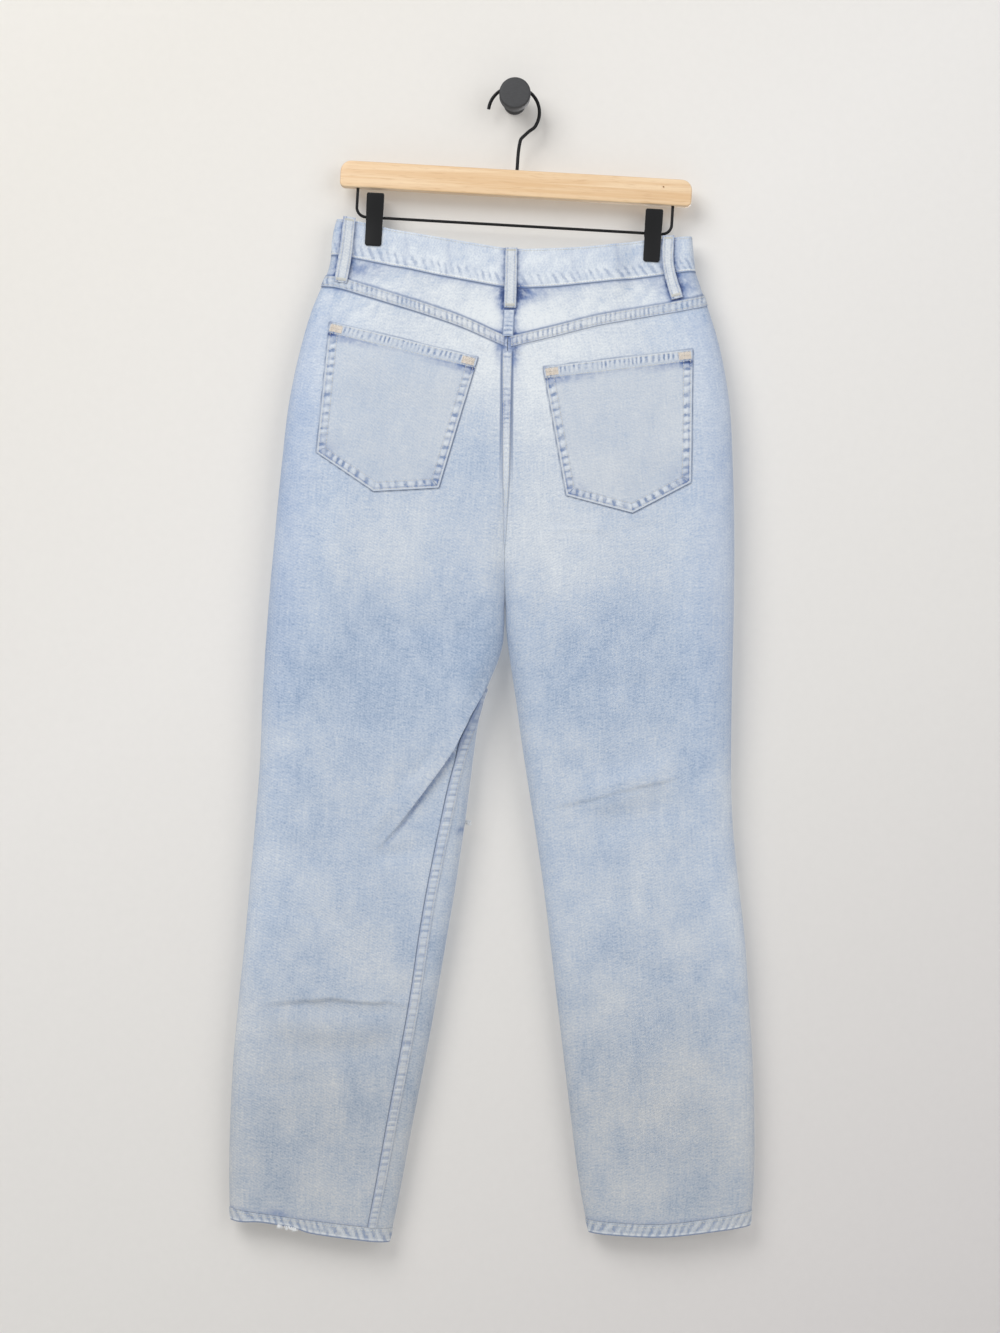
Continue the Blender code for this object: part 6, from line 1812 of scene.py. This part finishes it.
for side, label in ((-1, "left"), (1, "right")):
    centre_x = BAR_MIDDLE_X + side * CLIP_FROM_MIDDLE
    front = jaw_plate(f"clip_plate_{label}_front", centre_x, -1, 0)
    drilled(front, [ear("ear_outer", centre_x, -1), ear("ear_inner", centre_x, 1)], "UNION")
    bore = rod("ear_bore", (centre_x - 12, 0, RAIL_Z), (centre_x + 12, 0, RAIL_Z), RAIL_WIRE + HOLE_ROOM, 24)
    keep(drilled(front, [bore]), f"clip_{label}_jaw_front", "black_steel")
    keep(jaw_plate(f"clip_plate_{label}_back", centre_x, 1, 2 * EAR_THICK + 1), f"clip_{label}_jaw_back", "black_steel")
    helix, wire_radius = coil(centre_x)
    keep(grow(f"clip_coil_{label}", [helix], ROUND, BLACK_STEEL, Radius=wire_radius * MM, Sides=8), f"clip_{label}_spring", "black_steel")

# %% [markdown]
# ## The knob
# The knob is turned from hardwood and stained charcoal. It is matt, with fine pores under the stain,
# and its rim is softly rounded.

# %% Wall knob
KNOB, tree, shader = new_material("turned hardwood, charcoal stain")
where = add(tree, "ShaderNodeTexCoord").outputs["Object"]
# Pores of the wood about 1 mm long, under the stain.
pores = add(tree, "ShaderNodeTexNoise", {"Vector": add(tree, "ShaderNodeMapping", {"Vector": where, "Scale": (300, 300, 1100)}).outputs[0], "Scale": 1, "Detail": 2}).outputs[0]
tone = add(tree, "ShaderNodeMix", {0: pores, 6: rgba("#343435"), 7: rgba("#434344")}, data_type="RGBA").outputs[2]
tree.links.new(tone, shader.inputs["Base Color"])
tree.links.new(add(tree, "ShaderNodeBump", {"Height": pores, "Strength": 0.2, "Distance": 0.0003}).outputs[0], shader.inputs["Normal"])
shader.inputs["Roughness"].default_value = 0.6

rim = [(16 - 2.2 * (1 - math.cos(a)), -45.8 - 2.2 * math.sin(a)) for a in np.linspace(0, math.pi / 2, 9)]
profile = [(0, 0), (11.5, 0), (11.5, -1.8), (11.2, -2.4), (10, -4), (10, -29.6), (10.4, -30.6)]
profile += [(14, -31.2), (15.4, -31.9), (16, -33.4)] + rim + [(8, -48), (0, -48)]
keep(turned("charcoal_knob", profile, 72, KNOB), "wall_knob", "knob")

# %% [markdown]
# ## Stitches
# A lockstitch shows as a row of short threads, each sunk a little at its ends. On jeans they are
# about 3 mm long. One tree lays such a row along any path: it resamples the path at the stitch
# pitch, sets one small shape on each point, turns it along the path and makes it real geometry.

# %% A tree for rows along a path


def row_tree(name, shape_kind, **shape_inputs):
    inputs = [("Pitch", "NodeSocketFloat"), ("Size", "NodeSocketVector"), ("Seed", "NodeSocketInt"), ("Finish", "NodeSocketMaterial")]
    tree, given = begin_tree(name, inputs)
    path = add(tree, "GeometryNodeMeshToCurve", {"Mesh": given.outputs["Path"]})
    spots = add(tree, "GeometryNodeResampleCurve", {"Curve": path.outputs[0], "Length": given.outputs["Pitch"]}, mode="LENGTH")
    shape = add(tree, shape_kind, shape_inputs)
    sized = add(tree, "GeometryNodeTransform", {"Geometry": shape.outputs[0], "Scale": given.outputs["Size"]})
    tangent = add(tree, "GeometryNodeInputTangent")
    turned_along = add(tree, "FunctionNodeAlignRotationToVector", {"Vector": tangent.outputs[0]}, axis="X")
    uneven = add(tree, "FunctionNodeRandomValue", {"Seed": given.outputs["Seed"], 2: 0.86, 3: 1.1}, data_type="FLOAT")
    placed = {"Points": spots.outputs[0], "Instance": sized.outputs[0], "Rotation": turned_along.outputs[0], "Scale": uneven.outputs[1]}
    return end_tree(tree, add(tree, "GeometryNodeInstanceOnPoints", placed).outputs[0], given)


STITCHES = row_tree("stitches along a seam", "GeometryNodeMeshUVSphere", Segments=6, Rings=4, Radius=1)
TEETH = row_tree("teeth along a tape", "GeometryNodeMeshCube")
print("trees:", ROUND.name, "/", STITCHES.name, "/", TEETH.name)

# %% Threads
thread_finishes = {}
for name, dark, light in (
    ("cotton wrapped thread, washed out", "#C2C4C0", "#E2E0D6"),
    ("cotton wrapped thread, peach", "#D9CCBC", "#F0E8DE"),
    ("undyed weft yarn", "#DADDDF", "#F4F5F5"),
):
    made, tree, shader = new_material(name)
    where = add(tree, "ShaderNodeTexCoord").outputs["Object"]
    # A two ply thread: the twist repeats every 0.8 mm.
    ply = add(tree, "ShaderNodeTexNoise", {"Vector": where, "Scale": 1200, "Detail": 1}).outputs[0]
    tone = add(tree, "ShaderNodeMix", {0: ply, 6: rgba(dark), 7: rgba(light)}, data_type="RGBA").outputs[2]
    tree.links.new(tone, shader.inputs["Base Color"])
    shader.inputs["Roughness"].default_value = 0.8
    shader.inputs["Sheen Weight"].default_value = 0.1
    thread_finishes[name.split(", ")[-1]] = made
WASHED_THREAD, PEACH_THREAD, WEFT = thread_finishes.values()
print(list(thread_finishes))

# %% Where the stitch rows run
ABOVE = 0.12


def inset(outline, distance):
    """The open outline of a pocket, moved inwards, with a point every 2 mm."""
    points = np.asarray(outline, float)
    middle = points.mean(axis=0)
    ways, lines = np.diff(points, axis=0), []
    for start, way in zip(points, ways):
        normal = np.array([-way[1], way[0]]) / np.linalg.norm(way)
        normal *= np.sign(normal @ (middle - start))
        lines.append((start + normal * distance, way))
    corners = [lines[0][0]]
    for (p, d), (q, e) in zip(lines, lines[1:]):
        corners.append(p + d * np.linalg.solve(np.stack([d, -e], 1), q - p)[0])
    corners.append(lines[-1][0] + lines[-1][1])
    parts = [a + np.linspace(0, 1, max(2, int(np.linalg.norm(b - a) / 2)))[:, None] * (b - a) for a, b in zip(corners, corners[1:])]
    return np.concatenate([parts[0]] + [part[1:] for part in parts[1:]])


def on_pocket(label, line, more=ABOVE):
    under, thick, *_ = pocket_heights(label, line[:, 0], line[:, 1])
    return on_face("back", line[:, 0], line[:, 1], under + thick + more)


def pocket_rows(label):
    outline = outline_of(label)
    top_left, top_right = np.array(outline[0]), np.array(outline[-1])
    rows = [on_pocket(label, inset(outline, d)[2:-2]) for d in (EDGE_ROW, INNER_ROW)]
    for depth in (EDGE_ROW, BAND_ROW):
        ends = np.linspace(0.02, 0.98, 70)[:, None]
        line = top_left + ends * (top_right - top_left)
        rows.append(on_pocket(label, line + [0, depth * 1.02]))
    return rows


def seat_rows():
    rows = []
    for side in (-1, 1):
        across = np.linspace(0.055, 0.98, 110)
        for below in (1.9, 9.2):
            rows.append(place(side, "back", across, yoke_foot(side, across) + below, SEAM_GAP + LAP_CLOTH + ABOVE))
    drop = np.linspace(266, 420, 80)
    for side in (-1, 1):
        rows.append(on_face("back", CENTRE_X(drop) + side * (np.interp(drop, *CENTRE_LAP) - 1.3), drop, SEAM_GAP + LAP_CLOTH + ABOVE))
    return rows


def band_rows():
    rows = []
    for side, face in ((-1, "front"), (-1, "back"), (1, "back"), (1, "front")):
        across = np.linspace(0.01, 0.985, 120)
        high, low = band_top(side, face, across), band_foot(side, face, across)
        lap = (BAND_CLOTH + BAND_LAP_GAP) * step((across - 0.87) / 0.1) if (side, face) == (-1, "front") else 0
        rows.append(place(side, face, across, high + 2, BAND_PROUD + lap + 0.1))
        rows.append(place(side, face, across, low - 2.2, BAND_PROUD + lap - 0.22))
    return rows


def hem_rows():
    rows = []
    for side in (-1, 1):
        for face in ("back", "front"):
            across = np.linspace(0.01, 0.99, 110)
            rows.append(place(side, face, across, hem_drop(side, face, across, 1) + 2.8, HEM_PROUD + ABOVE))
    return rows


def inner_leg_rows():
    drop = np.linspace(650, 1156, 210)
    rows = [place(-1, "front", 0.955 + 0.0443 * near / 12.5, drop, SEAM_GAP + LAP_CLOTH + 0.05) for near in (1.8, 7.4)]
    drop = np.linspace(560, 1150, 220)
    return rows + [place(1, "front", across, drop, ABOVE) for across in (0.966, 0.992)]


def front_rows():
    rows = []
    for side in (-1, 1):
        across = np.linspace(0.02, 0.5, 90)
        for below in (2, 8.2):
            rows.append(place(side, "front", across, pocket_mouth(side, across) + below, ABOVE))
    across = np.linspace(0.13, 0.39, 30)
    rows.append(place(1, "front", across, band_foot(1, "front", across) + 17, ABOVE - 0.2))
    share = np.linspace(0, 1, 90)
    drop = 212 + share * (350 - 212)
    width = np.maximum(36 * np.sqrt(1 - np.clip((share - 0.62) / 0.40, 0, 1) ** 2), 8)
    for at in (0.72, 0.9):
        rows.append(on_face("front", CENTRE_X(drop) + 6 - 3 * share - width * at, drop, SEAM_GAP + CLOTH + ABOVE))
    return rows


def loop_rows():
    rows = []
    for label in BELT_LOOPS:
        face, line, sideways, lift = loop_line(label)
        for side in (-1, 1):
            at = (line + side * (LOOP_WIDTH / 2 - 1.8) * sideways)[2:-2]
            rows.append(on_face(face, at[:, 0], at[:, 1], lift[2:-2] + LOOP_CLOTH - 0.25 + ABOVE))
    return rows


# %% Sewing the rows
SEWN = {
    "stitching_pocket_left": pocket_rows("left"),
    "stitching_pocket_right": pocket_rows("right"),
    "stitching_seat": seat_rows(),
    "stitching_waistband": band_rows(),
    "stitching_hems": hem_rows(),
    "stitching_inner_legs": inner_leg_rows(),
    "stitching_front": front_rows(),
    "stitching_loops": loop_rows(),
}
for seed, (name, rows) in enumerate(SEWN.items()):
    size = (1.25 * MM, 0.36 * MM, 0.30 * MM)
    sewn = grow(name, rows, STITCHES, WASHED_THREAD, Pitch=3 * MM, Size=size, Seed=seed)
    finish_piece(sewn, "denim")
    print(name, len(sewn.data.polygons), "faces")

# %% [markdown]
# ## Bar tacks
# Where a pocket corner or a loop end takes the strain, the machine sews a bar tack: a close zigzag
# over a few long stitches. On the pockets they are peach, the only warm thread on the back.

# %% Bar tacks


def tack(centre, way, long, half_high, pitch=0.46):
    """The passes of a close zigzag in the plane of (x, drop), over this length along way."""
    way = np.asarray(way, float) / np.linalg.norm(way)
    over = np.array([-way[1], way[0]])
    middles = np.asarray(centre) + np.arange(-long / 2, long / 2, pitch)[:, None] * way
    return [np.stack([m - half_high * over, m, m + half_high * over]) for m in middles]


tacks, loop_tacks = [], []
for label in ("left", "right"):
    outline = outline_of(label)
    top_left, top_right = np.array(outline[0]), np.array(outline[-1])
    way = (top_right - top_left) / np.linalg.norm(top_right - top_left)
    down = np.array([-way[1], way[0]])
    for corner, inwards in ((top_left, way), (top_right, -way)):
        for deep in (4.2, 8):
            passes = np.concatenate(tack(corner + inwards * 8.6 + down * deep, way, 12.8, 1.8))
            tacks += list(on_pocket(label, passes, 0.3).reshape(-1, 3, 3))
for label in BELT_LOOPS:
    face, line, sideways, lift = loop_line(label)
    for i, half_high in ((2, 1), (43, 1.5)):
        passes = np.concatenate(tack(line[i], sideways[i], 9.6, half_high))
        loop_tacks += list(on_face(face, *passes.T, lift[i] + LOOP_CLOTH + 0.05).reshape(-1, 3, 3))
for name, passes, thread in (("bar_tacks", tacks, PEACH_THREAD), ("loop_tacks", loop_tacks, WASHED_THREAD)):
    finish_piece(grow(name, passes, ROUND, thread, Radius=0.22 * MM, Sides=5), "denim")
    print(len(passes), "passes in the", name)

# %% [markdown]
# ## Loose threads
# At the knee rip the blue warp has worn away and the white weft is left across the gap. A tuft of it
# stands out past the inner edge of the leg, which is all of the rip that the camera sees. The left
# hem is frayed where it has dragged.

# %% Loose threads
random = np.random.default_rng(5)
threads = []
for share in np.linspace(-0.88, 0.88, 17):
    turn = np.radians(np.linspace(10, 170, 26))
    wander = 0.5 * np.sin(turn * random.uniform(1, 4) + random.uniform(0, 6))
    x = RIP_X + RIP_HALF_LENGTH * np.cos(turn)
    rise = RIP_BEND * np.cos(2 * turn) + share * RIP_HALF_GAP * np.sin(turn) ** 3 + wander
    threads.append(on_face("front", x, RIP_DROP - rise, -0.7 + 0.6 * np.sin(turn * 3 + share * 9)))
for _ in range(46):
    turn = random.uniform(0.15, math.pi - 0.15) * random.choice([-1, 1])
    x = RIP_X + RIP_HALF_LENGTH * math.cos(turn)
    rise = RIP_BEND * math.cos(2 * turn) + RIP_HALF_GAP * math.sin(turn) ** 3
    long, lean = random.uniform(3, 6.5), random.uniform(-2.5, 2.5)
    t = np.linspace(0, 1, 6)
    threads.append(on_face("front", x + lean * t**2, RIP_DROP - rise + np.sign(turn) * (long * t - 2), 0.2 + 1.1 * t * (1 - t)))


def tuft(at_x, at_drop, count, spread_x, spread_drop, away, long):
    """Short loose ends that start on the front near the inner fold, or at a hem."""
    for _ in range(count):
        start_x, start_drop = at_x + random.uniform(-1, 1) * spread_x, at_drop + random.uniform(-1, 1) * spread_drop
        t = np.linspace(0, 1, 7)
        reach = long * random.uniform(0.55, 1.1)
        drift = random.uniform(-1.6, 1.6)
        start = on_face("front", np.array(start_x), np.array(start_drop), 0.1)
        bend = np.stack([away[0] * reach * t + drift * t * t * away[1], -3.6 * t, -(away[1] * reach * t) - drift * t * t * away[0]], -1)
        threads.append(start + bend)


tuft(-52.2, 743.5, 40, 0.5, 1.8, (1, 0.1), 7)
for _ in range(44):
    x = random.uniform(-243, -222)
    start = on_face("back", np.array(x), hem_line(-1, np.array(x), 2) - 1, 0.3)
    t = np.linspace(0, 1, 6)
    threads.append(start + np.stack([random.uniform(-2, 2) * t * t, -0.5 * t, -random.uniform(2, 4.5) * t], -1))
finish_piece(grow("loose_weft", threads, ROUND, WEFT, Radius=0.25 * MM, Sides=5), "denim")
print(len(threads), "loose threads")

# %% Zip teeth
drop = np.linspace(228, 338, 80)
teeth = [on_face("front", CENTRE_X(drop) + side * 1.1, drop, behind_fly - SEAM_GAP - 0.6) for side in (-1, 1)]
finish_piece(grow("zip_teeth", teeth, TEETH, BRASS, Pitch=2.1 * MM, Size=(1.2 * MM, 2.6 * MM, 1.1 * MM), Seed=3), "brass")

# %% [markdown]
# ## The cut of each piece of cloth
# A cutter needs the flat size of each piece, listed here. Cloth is not stretched in the making, so a
# piece's finished area stays close to its flat one. The waistband is given as it lies folded.

# %% Flat sizes
FLAT = [
    # piece, width, length and, where it isn't a rectangle, flat area, in metres; how it is held; what carries it
    ("waistband_cloth", 0.041, 0.790, None, "folded", "clip_plate_left_front clip_plate_right_front"),
    ("fly_front", 0.036, 0.142, None, "hung", "waistband_cloth front_panel_left"),
    ("zip_tape_cloth", 0.024, 0.126, None, "hung", "fly_front"),
    ("small_coin_pocket", 0.065, 0.054, 0.0024, "hung", "hip_facing_right"),
    ("centre_fell", 0.0104, 0.197, 0.0017, "hung", "back_panel_left back_panel_right"),
    ("centre_fell_yoke", 0.0112, 0.027, None, "hung", "yoke_cloth_left yoke_cloth_right"),
    ("inner_leg_fell", 0.0125, 0.550, None, "hung", "back_panel_left front_panel_left"),
]
for label, yoke_area, back_area, front_area, facing, lap in (
    ("left", 0.0067, 0.226, 0.202, 0.115, 0.222), ("right", 0.0075, 0.221, 0.195, 0.133, 0.230)
):
    FLAT += [
        (f"yoke_cloth_{label}", 0.052, 0.205, yoke_area, "hung", "waistband_cloth"),
        (f"yoke_fell_{label}", 0.011, lap, None, "hung", f"yoke_cloth_{label} back_panel_{label}"),
        (f"back_panel_{label}", 0.280, 0.975, back_area, "hung", f"yoke_cloth_{label}"),
        (f"front_panel_{label}", 0.240, 0.955, front_area, "hung", "waistband_cloth"),
        (f"hip_facing_{label}", facing, 0.088, 0.6 * facing * 0.1, "hung", "waistband_cloth"),
        (f"patch_pocket_{label}", 0.152, 0.170, 0.0212, "hung", f"back_panel_{label}"),
        (f"hem_cloth_{label}", 0.013, 0.365, None, "folded", f"back_panel_{label} front_panel_{label}"),
    ]
for label, long in (("back_centre", 0.062), ("back_left", 0.069), ("back_right", 0.067), ("front_left", 0.057), ("front_right", 0.053)):
    FLAT.append((f"loop_{label}", 0.0124, long, None, "folded", "waistband_cloth"))
print(len(FLAT), "sheets of cloth declared")

# %% Bounds of the frame and of the finished scene
visual_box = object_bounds()
listed = [[list(map(float, corner)) for corner in box] for box in (cad_box, visual_box)]
